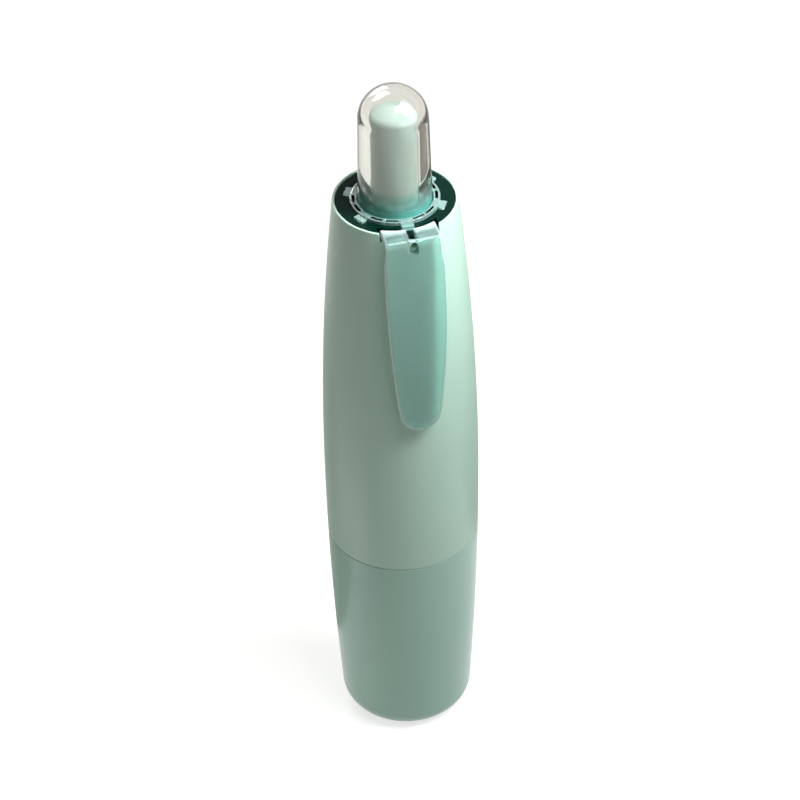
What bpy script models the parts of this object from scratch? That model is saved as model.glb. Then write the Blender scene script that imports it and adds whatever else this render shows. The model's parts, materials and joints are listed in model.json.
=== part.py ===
"""A press-button tape roller: its button pushes a sprung carriage with two reels down inside the body.

Metres, +Z up. The roller stands on the end face of its nose, and the pocket clip faces -Y.
"""
import math

import bmesh
import bpy
from mathutils import Matrix

# Clearances
FIT = 0.00015
RUNNING_GAP = 0.0003
BODY_GAP = 0.0007

# Tape
TAPE_WIDTH = 0.006
FILM_THICKNESS = 0.0002
TAPE_SIDE_GAP = 0.0002

# Reels, with their axes along X
SPOOL_HUB_RADIUS = 0.004
SPOOL_FLANGE = 0.0007
FLANGE_RIM = 0.0007
SUPPLY_TAPE_DEPTH = 0.0048
TAKEUP_HUB_RADIUS = 0.0032
TAKEUP_LINER_DEPTH = 0.001
TAKEUP_STEP = 0.003
SUPPLY_AXLE_RADIUS = 0.0017
TAKEUP_AXLE_RADIUS = 0.0014
IDLER_AXLE_RADIUS = 0.0012
CLUTCH_INNER_RADIUS = 0.0046
CLUTCH_RING_WIDTH = 0.0013
CLUTCH_DEPTH = 0.00035

# Gears
GEAR_MODULE = 0.00075
GEAR_WIDTH = 0.001
SUPPLY_TEETH = 20
IDLER_TEETH = 12
TAKEUP_TEETH = 14

# Carriage
FRAME_PLATE = 0.0008
FRAME_BAR = 0.0015
FRAME_BAR_HALF_WIDTH = 0.001
FRAME_SHELF_HALF_WIDTH = 0.0035
COVER_HALF_WIDTH = 0.0055
PLATE_CORNER = 0.0015
GUIDE_POST_RADIUS = 0.0009
ROD_RADIUS = 0.0026
ROD_STUB_RADIUS = 0.002
RETAINER_WIDTH = 0.0009
RETAINER_HEIGHT = 0.001
REEL_GAP = 0.0005

# Tape head
TIP_INSET = 0.0019
TIP_ROLLER_RADIUS = 0.0011
ROLLER_PIN_RADIUS = 0.0005
HEAD_LENGTH = 0.02
HEAD_CHEEK = 0.0009
HEAD_BLADE_HALF_WIDTH = 0.0006
HEAD_PIN_RADIUS = 0.0006
HEAD_PIN_DROP = 0.005
HEAD_PIN_EDGE = 0.0002
MOUTH_CLEARANCE = 0.0004

# Click mechanism
STROKE = 0.0075
SPRING_LENGTH = 0.0155
SPRING_RADIUS = 0.0042
SPRING_WIRE_RADIUS = 0.0004
SPRING_TURNS = 6
ROTOR_HEIGHT = 0.0032
ROTOR_LUGS = 3
LUG_RADIUS = 0.0007
LUG_REACH = 0.001
HOUSING_WALL = 0.001
HOUSING_FLOOR = 0.0012
HOUSING_COLLAR = 0.0025
PLUNGER_LENGTH = 0.0135
PLUNGER_WALL = 0.0013

# Button
DOME_WALL = 0.00168
DOME_HEIGHT = 0.0203
DOME_DRAFT = 0.0003
DOME_FLANGE = 0.001
CORE_RADIUS = 0.00365
CORE_DROP = 0.0047
CORE_CROWN = 0.0006

# Top cap and bush
CAP_THICKNESS = 0.0024
CAP_RECESS = 0.00015
CAP_RING_WIDTH = 0.0013
BUSH_LUGS = 6
BUSH_LUG_LENGTH = 0.00105
BUSH_LUG_WIDTH = 0.0019
BUSH_WALL = 0.00105
BUSH_RISE = 0.0003
BUSH_FLANGE = 0.0008

# Body shell
WALL = 0.0014
RIM_LIP = 0.00044
UPPER_BULGE_RADIUS = 0.468
LOWER_BULGE_RADIUS = 0.7
SEAM_HEIGHT = 0.0376
SEAM_GAP = 0.00015
SPIGOT_LENGTH = 0.006
SPIGOT_WALL = 0.00065
NOSE_CORNER_RADIUS = 0.004
NOSE_FLOOR = 0.0016

# Clip
CLIP_WIDTH = 0.0096
CLIP_ROOT_WIDTH = 0.0088
CLIP_THICKNESS = 0.0013
CLIP_BEVEL = 0.00045
CLIP_LENGTH = 0.0353
CLIP_TAPER = 0.0254
CLIP_END_RADIUS = 0.0034
CLIP_GAP = 0.00035
CLIP_BOW = 0.0005
CLIP_BEND_RADIUS = 0.0006
CLIP_SLOT_WIDTH = 0.0013
CLIP_SLOT_DROP = 0.0012
CLIP_ROOT_GAP = 0.0002

# Facets: how many round a circle, how long up a wall, and how many degrees round an arc
BODY_SEGMENTS = 48
ROUND_SEGMENTS = 32
PIN_SEGMENTS = 16
LUG_SEGMENTS = 12
COIL_SEGMENTS = 12
OUTER_WALL_STEP = 0.0073
INNER_WALL_STEP = 0.0125
FINE_TURN = 13
COARSE_TURN = 23
BUSH_VALLEY_STEPS = 6
GROOVE_LEG_STEPS = 4
CLIP_STRAIGHT_STEPS = 3
CLIP_TAPER_STEPS = 6
SMOOTH_ANGLE = 35
MERGE_DISTANCE = 1e-7

# Reel layers along X, from the tape outwards
flange_inner = TAPE_WIDTH / 2 + TAPE_SIDE_GAP
flange_outer = flange_inner + SPOOL_FLANGE
gear_inner = flange_outer + RUNNING_GAP
gear_outer = gear_inner + GEAR_WIDTH
plate_inner = gear_outer + RUNNING_GAP
plate_outer = plate_inner + FRAME_PLATE
cover_inner = flange_outer + RUNNING_GAP
cover_outer = cover_inner + FRAME_PLATE

# Reel radii
supply_tape_radius = SPOOL_HUB_RADIUS + FIT + SUPPLY_TAPE_DEPTH
supply_flange_radius = supply_tape_radius + FLANGE_RIM
takeup_flange_radius = supply_flange_radius - TAKEUP_STEP
takeup_liner_radius = TAKEUP_HUB_RADIUS + FIT + TAKEUP_LINER_DEPTH
film_offset = FIT + FILM_THICKNESS / 2

# Heights from the end face of the nose, up the carriage
roller_height = TIP_INSET + FILM_THICKNESS + FIT + TIP_ROLLER_RADIUS
head_top = TIP_INSET + HEAD_LENGTH
bar_bottom = head_top + FIT
bar_top = bar_bottom + FRAME_BAR
takeup_height = bar_top + REEL_GAP + takeup_flange_radius
idler_height = takeup_height + GEAR_MODULE * (TAKEUP_TEETH + IDLER_TEETH) / 2
supply_height = idler_height + GEAR_MODULE * (IDLER_TEETH + SUPPLY_TEETH) / 2
shelf_bottom = supply_height + supply_flange_radius + REEL_GAP
shelf_top = shelf_bottom + FRAME_BAR

# Heights up the click mechanism to the rim
housing_bottom = shelf_top + RUNNING_GAP
spring_seat = housing_bottom + HOUSING_FLOOR
rotor_bottom = spring_seat + FIT + SPRING_LENGTH + FIT
rotor_top = rotor_bottom + ROTOR_HEIGHT
lug_height = rotor_bottom + ROTOR_HEIGHT / 2
plunger_bottom = rotor_top + FIT
dome_bottom = plunger_bottom + PLUNGER_LENGTH
dome_flange_top = dome_bottom + DOME_FLANGE
bush_flange_bottom = dome_flange_top + FIT
cap_bottom = bush_flange_bottom + BUSH_FLANGE + FIT
cap_top = cap_bottom + CAP_THICKNESS
rim_height = cap_top + CAP_RECESS
dome_top = rim_height + DOME_HEIGHT
housing_top = dome_bottom - STROKE - RUNNING_GAP

# The guide post, below and beside the take-up reel
post_distance = takeup_flange_radius + RUNNING_GAP + FILM_THICKNESS + 2 * FIT + GUIDE_POST_RADIUS
post_side = post_distance * math.sqrt(0.5)
post_height = takeup_height - post_side
plate_half_width = post_side + GUIDE_POST_RADIUS

# The tape head
head_inner = TAPE_WIDTH / 2 + TAPE_SIDE_GAP
head_outer = head_inner + HEAD_CHEEK
tape_side = TIP_ROLLER_RADIUS + film_offset
head_pin_side = tape_side + film_offset + HEAD_PIN_RADIUS
head_pin_height = head_top - HEAD_PIN_DROP
head_half_width = head_pin_side + HEAD_PIN_RADIUS + HEAD_PIN_EDGE


def bulge_drop(height):
    """How much narrower the body is at a height than at its belly, which is level with the supply reel."""
    rise = height - supply_height
    bulge = UPPER_BULGE_RADIUS if rise > 0 else LOWER_BULGE_RADIUS
    return bulge - math.sqrt(bulge * bulge - rise * rise)


# The belly clears the widest places of the carriage, also where they go when the button is down
widest_places = [
    (math.hypot(supply_flange_radius, flange_outer), supply_height),
    (math.hypot(GEAR_MODULE * (SUPPLY_TEETH / 2 + 1), gear_outer), supply_height),
    (math.hypot(plate_half_width, plate_outer), bar_bottom - STROKE),
    (math.hypot(COVER_HALF_WIDTH, cover_outer), bar_bottom - STROKE),
]
inside_radius = max(reach + bulge_drop(height) for reach, height in widest_places) + BODY_GAP
belly_radius = inside_radius + WALL


def outside(height):
    """The body's outer radius at a height."""
    return belly_radius - bulge_drop(height)


def inside(height):
    """The body's inner radius at a height."""
    return outside(height) - WALL


# The mouth of the barrel, inwards to the button
rim_radius = outside(rim_height)
mouth_radius = rim_radius - RIM_LIP
bush_lug_radius = mouth_radius - CAP_RING_WIDTH
bush_radius = bush_lug_radius - BUSH_LUG_LENGTH
dome_base_radius = bush_radius - BUSH_WALL - FIT
dome_radius = dome_base_radius - DOME_DRAFT
dome_flange_radius = bush_radius + RUNNING_GAP
bush_flange_radius = inside(cap_bottom) - RUNNING_GAP

# The click mechanism's radii
spring_outer_radius = SPRING_RADIUS + SPRING_WIRE_RADIUS
rotor_radius = spring_outer_radius + RUNNING_GAP
bore_radius = rotor_radius + RUNNING_GAP
groove_radius = rotor_radius + LUG_REACH + RUNNING_GAP
housing_radius = groove_radius + HOUSING_WALL
plunger_radius = rotor_radius

# The clip
clip_half_width = CLIP_WIDTH / 2
clip_root_half_width = CLIP_ROOT_WIDTH / 2
clip_inner_height = rim_height - CLIP_THICKNESS
clip_root_radius = bush_lug_radius + 2 * FIT + CLIP_ROOT_GAP
pocket_floor = clip_inner_height - RUNNING_GAP
pocket_half_width = clip_root_half_width + RUNNING_GAP
pocket_radius = bush_lug_radius
clip_bend_height = clip_inner_height - CLIP_BEND_RADIUS
clip_bend_side = outside(clip_bend_height) + CLIP_GAP - CLIP_BEND_RADIUS
clip_end = rim_height - CLIP_LENGTH
clip_reach = outside(clip_end) + CLIP_GAP + CLIP_THICKNESS

# The middle of the part's box lies between the back of the belly and the front of the clip
axis_shift = (clip_reach - belly_radius) / 2


def clear_scene():
    for ob in list(bpy.data.objects):
        bpy.data.objects.remove(ob, do_unlink=True)


def finish(name, colour, roughness, metallic=0.0, transmission=0.0):
    """A Principled material with a colour, a gloss and, for clear plastic, transmission."""
    material = bpy.data.materials.new(name)
    material.use_nodes = True
    shader = material.node_tree.nodes["Principled BSDF"]
    shader.inputs["Base Color"].default_value = (*colour, 1.0)
    shader.inputs["Roughness"].default_value = roughness
    shader.inputs["Metallic"].default_value = metallic
    shader.inputs["Transmission Weight"].default_value = transmission
    return material


def add_empty(name, parent=None, location=(0, 0, 0)):
    empty = bpy.data.objects.new(name, None)
    bpy.context.collection.objects.link(empty)
    empty.parent = parent
    empty.location = location
    return empty


def add_object(name, bm, parent, material=None, location=(0, 0, 0), along_x=False):
    """Turn a bmesh into a named object; along_x lays its Z axis along the reels' axes."""
    bmesh.ops.recalc_face_normals(bm, faces=bm.faces)
    mesh = bpy.data.meshes.new(name)
    bm.to_mesh(mesh)
    bm.free()
    mesh.shade_smooth()
    mesh.set_sharp_from_angle(angle=math.radians(SMOOTH_ANGLE))
    ob = bpy.data.objects.new(name, mesh)
    bpy.context.collection.objects.link(ob)
    ob.parent = parent
    ob.location = location
    if along_x:
        ob.rotation_euler = (0, math.pi / 2, 0)
    if material:
        mesh.materials.append(material)
    return ob


def arc(centre_radius, centre_height, radius, start, end, turn):
    """Points of (radius, height) on an arc between two angles, with a facet for each turn, in degrees."""
    steps = math.ceil(abs(end - start) / turn)
    points = []
    for step in range(steps + 1):
        angle = math.radians(start + (end - start) * step / steps)
        points.append((centre_radius + radius * math.cos(angle), centre_height + radius * math.sin(angle)))
    return points


def turned(profile, segments):
    """Spin a profile of (radius, height) points about Z; one that starts off the axis is closed first."""
    bm = bmesh.new()
    verts = [bm.verts.new((radius, 0, height)) for radius, height in profile]
    edges = [bm.edges.new(pair) for pair in zip(verts, verts[1:])]
    if profile[0][0] > 0:
        edges.append(bm.edges.new((verts[-1], verts[0])))
    bmesh.ops.spin(bm, geom=verts + edges, axis=(0, 0, 1), angle=math.tau, steps=segments)
    bmesh.ops.remove_doubles(bm, verts=bm.verts, dist=MERGE_DISTANCE)
    return bm


def box(low, high):
    """A box between two corners."""
    bm = bmesh.new()
    bmesh.ops.create_cube(bm, size=1)
    size = [b - a for a, b in zip(low, high)]
    middle = [(a + b) / 2 for a, b in zip(low, high)]
    bmesh.ops.transform(bm, matrix=Matrix.Translation(middle) @ Matrix.Diagonal((*size, 1)), verts=bm.verts)
    return bm


def cylinder(radius, low, high, segments):
    """A solid cylinder about Z between two heights."""
    return turned([(0, low), (radius, low), (radius, high), (0, high)], segments)


def tube(inner, outer, low, high, segments):
    """A straight tube or washer about Z between two heights."""
    return turned([(outer, high), (outer, low), (inner, low), (inner, high)], segments)


def circle_loop(radius, segments):
    return [(radius * math.cos(math.tau * i / segments), radius * math.sin(math.tau * i / segments))
            for i in range(segments)]


def toothed_loop(valley_radius, peak_radius, teeth, root_width, tip_width, phase, valley_steps):
    """A loop of straight-sided teeth, with the first tooth's middle at the phase angle."""
    points = []
    for tooth in range(teeth):
        middle = phase + math.tau * tooth / teeth
        root = math.asin(root_width / 2 / valley_radius)
        tip = math.asin(tip_width / 2 / peak_radius)
        corners = [(valley_radius, -root), (peak_radius, -tip), (peak_radius, tip), (valley_radius, root)]
        valley = math.tau / teeth - 2 * root
        for step in range(1, valley_steps):
            corners.append((valley_radius, root + valley * step / valley_steps))
        for radius, turn in corners:
            points.append((radius * math.cos(middle + turn), radius * math.sin(middle + turn)))
    return points


def ring_plate(outer_loop, inner_loop, low, high):
    """A flat plate with a hole, from its two outlines, between two heights."""
    bm = bmesh.new()
    edges = []
    for loop in (outer_loop, inner_loop):
        verts = [bm.verts.new((x, y, low)) for x, y in loop]
        edges += [bm.edges.new((verts[i - 1], verts[i])) for i in range(len(verts))]
    bmesh.ops.triangle_fill(bm, use_beauty=True, edges=edges)
    faces = list(bm.faces)
    raised = bmesh.ops.extrude_face_region(bm, geom=faces, use_keep_orig=True)
    verts = [item for item in raised["geom"] if isinstance(item, bmesh.types.BMVert)]
    bmesh.ops.translate(bm, vec=(0, 0, high - low), verts=verts)
    return bm


def flat_block(outline, low, high):
    """A block between two heights, from its outline of (X, Y) points."""
    bm = bmesh.new()
    bottom = bm.faces.new([bm.verts.new((x, y, low)) for x, y in outline])
    raised = bmesh.ops.extrude_face_region(bm, geom=[bottom], use_keep_orig=True)
    verts = [item for item in raised["geom"] if isinstance(item, bmesh.types.BMVert)]
    bmesh.ops.translate(bm, vec=(0, 0, high - low), verts=verts)
    return bm


def outline_plate(outline, low, high):
    """A plate across X, from its outline of (Y, Z) points."""
    bm = bmesh.new()
    bottom = bm.faces.new([bm.verts.new((low, y, z)) for y, z in outline])
    raised = bmesh.ops.extrude_face_region(bm, geom=[bottom], use_keep_orig=True)
    verts = [item for item in raised["geom"] if isinstance(item, bmesh.types.BMVert)]
    bmesh.ops.translate(bm, vec=(high - low, 0, 0), verts=verts)
    return bm


def combine(ob, operation, name, bm, location=(0, 0, 0), along_x=False):
    """Cut a shape out of an object, or fuse it on, with a hidden tool."""
    tool = add_object(f"{ob.name}_{name}", bm, ob.parent, None, location, along_x)
    tool.hide_render = True
    tool.display_type = "WIRE"
    modifier = ob.modifiers.new(name, "BOOLEAN")
    modifier.operation = operation
    modifier.object = tool
    modifier.solver = "EXACT"


def cut(ob, name, bm, location=(0, 0, 0), along_x=False):
    combine(ob, "DIFFERENCE", name, bm, location, along_x)


def fuse(ob, name, bm, location=(0, 0, 0), along_x=False):
    combine(ob, "UNION", name, bm, location, along_x)


def chamfered_outline(half_width, low, high):
    """A rectangle of (Y, Z) points with its corners cut off."""
    inner = half_width - PLATE_CORNER
    near = [(inner, low), (half_width, low + PLATE_CORNER), (half_width, high - PLATE_CORNER), (inner, high)]
    return near + [(-y, z) for y, z in reversed(near)]


def evenly(low, high, steps):
    return [low + (high - low) * step / steps for step in range(steps + 1)]


def wall_heights(low, high, facet):
    """Heights up a wall, no further apart than one facet."""
    return evenly(low, high, math.ceil((high - low) / facet))


def clip_room():
    """The room for the clip's root, from an arc round the bush outwards."""
    reach = math.degrees(math.asin(pocket_half_width / pocket_radius))
    back = arc(0, 0, pocket_radius, -90 - reach, -90 + reach, FINE_TURN)
    front = -rim_radius - CLIP_LENGTH
    outline = back + [(pocket_half_width, front), (-pocket_half_width, front)]
    return flat_block(outline, pocket_floor, rim_height + CLIP_THICKNESS)


def make_barrel(parent, material):
    outer = [(outside(z), z) for z in reversed(wall_heights(SEAM_HEIGHT, rim_height, OUTER_WALL_STEP))]
    spigot_inner = inside(SEAM_HEIGHT)
    spigot_outer = spigot_inner + SPIGOT_WALL
    spigot_bottom = SEAM_HEIGHT - SPIGOT_LENGTH
    ledge = cap_bottom - FIT
    inner = [(inside(z), z) for z in wall_heights(SEAM_HEIGHT, ledge, INNER_WALL_STEP)]
    spigot = [(spigot_outer, SEAM_HEIGHT), (spigot_outer, spigot_bottom), (spigot_inner, spigot_bottom)]
    mouth = [(mouth_radius, ledge), (mouth_radius, rim_height)]
    barrel = add_object("barrel", turned(outer + spigot + inner + mouth, BODY_SEGMENTS), parent, material)
    cut(barrel, "clip_notch", clip_room())


def mouth_half_width():
    """The mouth of the nose clears the head where the head is widest in it, with the button down."""
    height = STROKE + NOSE_FLOOR
    share = (height - roller_height) / (head_pin_height - roller_height)
    reach = TIP_ROLLER_RADIUS + (head_half_width - TIP_ROLLER_RADIUS) * share
    return max(reach, tape_side + film_offset) + MOUTH_CLEARANCE


def make_nose(parent, material):
    top = SEAM_HEIGHT - SEAM_GAP
    socket_bottom = SEAM_HEIGHT - SPIGOT_LENGTH - SEAM_GAP
    socket_radius = inside(SEAM_HEIGHT) + SPIGOT_WALL + FIT
    corner_side = outside(NOSE_CORNER_RADIUS) - NOSE_CORNER_RADIUS
    outer = [(outside(z), z) for z in reversed(wall_heights(NOSE_CORNER_RADIUS, top, OUTER_WALL_STEP))]
    corner = arc(corner_side, NOSE_CORNER_RADIUS, NOSE_CORNER_RADIUS, 0, -90, FINE_TURN)[1:]
    inner_corner = NOSE_CORNER_RADIUS - NOSE_FLOOR
    floor_side = inside(NOSE_CORNER_RADIUS) - inner_corner
    inner = arc(floor_side, NOSE_CORNER_RADIUS, inner_corner, -90, 0, COARSE_TURN)[:-1]
    inner += [(inside(z), z) for z in wall_heights(NOSE_CORNER_RADIUS, socket_bottom, INNER_WALL_STEP)]
    socket = [(socket_radius, socket_bottom), (socket_radius, top)]
    solid = [(0, 0)] + list(reversed(outer + corner)) + list(reversed(socket)) + list(reversed(inner))
    solid += [(0, NOSE_FLOOR)]
    nose = add_object("nose", turned(solid, BODY_SEGMENTS), parent, material)
    half_length = head_outer + MOUTH_CLEARANCE
    half_width = mouth_half_width()
    cutter = box((-half_length, -half_width, -NOSE_FLOOR), (half_length, half_width, 2 * NOSE_FLOOR))
    edges = [e for e in cutter.edges if abs(e.verts[0].co.z - e.verts[1].co.z) > NOSE_FLOOR]
    bmesh.ops.bevel(cutter, geom=edges, offset=MOUTH_CLEARANCE, segments=3, affect="EDGES", profile=0.5)
    cut(nose, "mouth", cutter)


def lugged_loop(margin):
    """The outline of the bush with its lugs, one of them under the clip, grown by a margin."""
    width = BUSH_LUG_WIDTH + 2 * margin
    valley = bush_radius + margin
    peak = bush_lug_radius + margin
    return toothed_loop(valley, peak, BUSH_LUGS, width, width, -math.pi / 2, BUSH_VALLEY_STEPS)


def make_top_cap(parent, material):
    edge = circle_loop(mouth_radius - FIT, BODY_SEGMENTS)
    plate = ring_plate(edge, lugged_loop(FIT), cap_bottom, cap_top)
    cap = add_object("top_cap", plate, parent, material)
    cut(cap, "clip_pocket", clip_room())


def make_button_bush(parent, material):
    hole = circle_loop(dome_base_radius + FIT, ROUND_SEGMENTS)
    flange_top = cap_bottom - FIT
    ring = ring_plate(lugged_loop(0), hole, flange_top - BUSH_FLANGE / 2, rim_height + BUSH_RISE)
    bush = add_object("button_bush", ring, parent, material)
    flange_edge = circle_loop(bush_flange_radius, BODY_SEGMENTS)
    fuse(bush, "flange", ring_plate(flange_edge, hole, bush_flange_bottom, flange_top))


def make_button_dome(parent, material):
    crown = dome_top - dome_radius
    inner_radius = dome_radius - DOME_WALL
    profile = [(0, dome_top)] + list(reversed(arc(0, crown, dome_radius, 0, 90, FINE_TURN)[:-1]))
    profile += [(dome_base_radius, rim_height), (dome_base_radius, dome_flange_top)]
    profile += [(dome_flange_radius, dome_flange_top), (dome_flange_radius, dome_bottom)]
    profile += [(inner_radius, dome_bottom)] + arc(0, crown, inner_radius, 0, 90, FINE_TURN)[:-1]
    profile += [(0, crown + inner_radius)]
    add_object("button_dome", turned(profile, ROUND_SEGMENTS), parent, material)


def make_button_core(parent, material):
    """The plunger: a rounded post inside the dome on a hollow skirt that pushes the rotor."""
    top = dome_top - CORE_DROP
    skirt_top = dome_bottom - FIT
    hollow = plunger_radius - PLUNGER_WALL
    crown = arc(CORE_RADIUS - CORE_CROWN, top - CORE_CROWN, CORE_CROWN, 0, 90, COARSE_TURN)
    profile = [(0, top)] + list(reversed(crown))
    profile += [(CORE_RADIUS, skirt_top), (plunger_radius, skirt_top), (plunger_radius, plunger_bottom)]
    profile += [(hollow, plunger_bottom), (hollow, skirt_top - PLUNGER_WALL), (0, skirt_top - PLUNGER_WALL)]
    add_object("button_core", turned(profile, ROUND_SEGMENTS), parent, material)


def zigzag_band(peak_height, drop, half_height, inner_radius, outer_radius, periods):
    """A closed band round Z whose middle falls from a peak and rises again, once for each lug."""
    bm = bmesh.new()
    rings = []
    leg = GROOVE_LEG_STEPS
    stations = periods * 2 * leg
    for station in range(stations):
        angle = math.tau * station / stations
        share = station % (2 * leg) / leg
        middle = peak_height - drop * (share if share <= 1 else 2 - share)
        corners = []
        for radius, height in ((inner_radius, -half_height), (outer_radius, -half_height),
                               (outer_radius, half_height), (inner_radius, half_height)):
            place = (radius * math.cos(angle), radius * math.sin(angle), middle + height)
            corners.append(bm.verts.new(place))
        rings.append(corners)
    for station in range(stations):
        here, there = rings[station - 1], rings[station]
        for side in range(4):
            bm.faces.new((here[side - 1], here[side], there[side], there[side - 1]))
    return bm


def make_click_housing(parent, material):
    """A sleeve wedged in the narrowing barrel; its zigzag groove turns the rotor on its way down."""
    collar_low = housing_top - HOUSING_COLLAR
    floor_hole = ROD_RADIUS + RUNNING_GAP
    profile = [
        (inside(housing_top) - FIT, housing_top), (inside(collar_low) - FIT, collar_low),
        (housing_radius, collar_low), (housing_radius, housing_bottom), (floor_hole, housing_bottom),
        (floor_hole, spring_seat), (bore_radius, spring_seat), (bore_radius, housing_top),
    ]
    housing = add_object("click_housing", turned(profile, BODY_SEGMENTS), parent, material)
    leg_width = math.pi / ROTOR_LUGS * groove_radius
    slope = STROKE / leg_width
    half_height = (LUG_RADIUS + RUNNING_GAP) * math.sqrt(1 + slope * slope)
    band = zigzag_band(lug_height, STROKE, half_height, rotor_radius, groove_radius, ROTOR_LUGS)
    cut(housing, "groove", band)


def make_cam_rotor(parent, material):
    bore = ROD_STUB_RADIUS + FIT
    ring = tube(bore, rotor_radius, rotor_bottom, rotor_top, BODY_SEGMENTS)
    rotor = add_object("cam_rotor", ring, parent, material)
    for lug in range(ROTOR_LUGS):
        bm = cylinder(LUG_RADIUS, rotor_radius - LUG_REACH, rotor_radius + LUG_REACH, LUG_SEGMENTS)
        lay = Matrix.Rotation(math.tau * lug / ROTOR_LUGS, 4, "Z") @ Matrix.Rotation(math.pi / 2, 4, "Y")
        bmesh.ops.transform(bm, matrix=lay, verts=bm.verts)
        fuse(rotor, f"lug_{lug + 1}", bm, (0, 0, lug_height))


def make_return_spring(parent, material):
    """A coil with its two end turns closed up."""
    low = spring_seat + FIT + SPRING_WIRE_RADIUS
    high = rotor_bottom - FIT - SPRING_WIRE_RADIUS
    lead = 3 * SPRING_WIRE_RADIUS
    count = SPRING_TURNS * COIL_SEGMENTS
    curve = bpy.data.curves.new("return_spring", "CURVE")
    curve.dimensions = "3D"
    curve.bevel_depth = SPRING_WIRE_RADIUS
    curve.bevel_resolution = 1
    curve.use_fill_caps = True
    spline = curve.splines.new("POLY")
    spline.points.add(count)
    for i, point in enumerate(spline.points):
        turn = i / COIL_SEGMENTS
        if turn < 1:
            height = low + lead * turn
        elif turn > SPRING_TURNS - 1:
            height = high - lead * (SPRING_TURNS - turn)
        else:
            height = low + lead + (high - low - 2 * lead) * (turn - 1) / (SPRING_TURNS - 2)
        angle = math.tau * turn
        point.co = (SPRING_RADIUS * math.cos(angle), SPRING_RADIUS * math.sin(angle), height, 1)
    spring = bpy.data.objects.new("return_spring", curve)
    bpy.context.collection.objects.link(spring)
    spring.parent = parent
    curve.materials.append(material)


def make_rotor_retainer(parent, material):
    low = rotor_top + FIT
    inner = ROD_STUB_RADIUS + FIT
    ring = tube(inner, inner + RETAINER_WIDTH, low, low + RETAINER_HEIGHT, ROUND_SEGMENTS)
    add_object("rotor_retainer", ring, parent, material)


def make_carriage_frame(parent, material):
    """The plate beside the reels, with their axles, a bar over the head, a shelf and the push rod."""
    outline = chamfered_outline(plate_half_width, bar_bottom, shelf_top)
    plate = outline_plate(outline, -plate_outer, -plate_inner)
    frame = add_object("carriage_frame", plate, parent, material)
    root = -plate_inner - FRAME_PLATE / 2
    reach = cover_inner - FIT
    bar = FRAME_BAR_HALF_WIDTH
    shelf = FRAME_SHELF_HALF_WIDTH
    # The bar and the shelf stop a little inside the plate's ends, so that no two faces coincide
    inset = FRAME_PLATE / 10
    fuse(frame, "bar", box((root, -bar, bar_bottom + inset), (reach, bar, bar_top)))
    fuse(frame, "shelf", box((root, -shelf, shelf_bottom), (reach, shelf, shelf_top - inset)))
    rod = [(0, shelf_bottom + FRAME_BAR / 2), (ROD_RADIUS, shelf_bottom + FRAME_BAR / 2)]
    rod += [(ROD_RADIUS, rotor_bottom - FIT), (ROD_STUB_RADIUS, rotor_bottom - FIT)]
    stub_top = rotor_top + FIT + RETAINER_HEIGHT + FIT
    rod += [(ROD_STUB_RADIUS, stub_top), (0, stub_top)]
    fuse(frame, "rod", turned(rod, ROUND_SEGMENTS))
    axles = [
        ("supply_axle", SUPPLY_AXLE_RADIUS, 0, supply_height, reach),
        ("takeup_axle", TAKEUP_AXLE_RADIUS, 0, takeup_height, reach),
        ("idler_axle", IDLER_AXLE_RADIUS, 0, idler_height, -gear_inner),
        ("guide_post", GUIDE_POST_RADIUS, post_side, post_height, reach),
    ]
    for name, radius, side, height, end in axles:
        fuse(frame, name, cylinder(radius, root, end, PIN_SEGMENTS), (0, side, height), True)


def make_carriage_cover(parent, material):
    outline = chamfered_outline(COVER_HALF_WIDTH, bar_bottom, shelf_top)
    add_object("carriage_cover", outline_plate(outline, cover_inner, cover_outer), parent, material)


def make_head(parent, material):
    """Two cheeks that hold the tip roller, a blade between the two runs of tape and two guide pins."""
    tip = arc(0, roller_height, TIP_ROLLER_RADIUS, 180, 360, COARSE_TURN)
    sides = [(head_half_width, head_pin_height), (head_half_width, head_top)]
    outline = tip + sides + [(-y, z) for y, z in reversed(sides)]
    head = add_object("head", outline_plate(outline, head_inner, head_outer), parent, material)
    fuse(head, "far_cheek", outline_plate(outline, -head_outer, -head_inner))
    overlap = HEAD_CHEEK / 2
    end = head_inner + overlap
    blade_bottom = roller_height + TIP_ROLLER_RADIUS + RUNNING_GAP
    blade = HEAD_BLADE_HALF_WIDTH
    fuse(head, "blade", box((-end, -blade, blade_bottom), (end, blade, head_top - overlap)))
    for side, name in ((1, "feed_pin"), (-1, "return_pin")):
        pin = cylinder(HEAD_PIN_RADIUS, -end, end, PIN_SEGMENTS)
        fuse(head, name, pin, (0, side * head_pin_side, head_pin_height), True)
    hole = cylinder(ROLLER_PIN_RADIUS + FIT, -2 * head_outer, 2 * head_outer, PIN_SEGMENTS)
    cut(head, "pin_hole", hole, (0, 0, roller_height), True)


def make_tip_roller(parent, material):
    half = head_inner - FIT
    sleeve = tube(ROLLER_PIN_RADIUS + FIT, TIP_ROLLER_RADIUS, -half, half, PIN_SEGMENTS)
    add_object("tip_roller", sleeve, parent, material, (0, 0, roller_height), True)


def make_roller_pin(parent, material):
    pin = cylinder(ROLLER_PIN_RADIUS, -head_outer, head_outer, PIN_SEGMENTS)
    add_object("roller_pin", pin, parent, material, (0, 0, roller_height), True)


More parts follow.
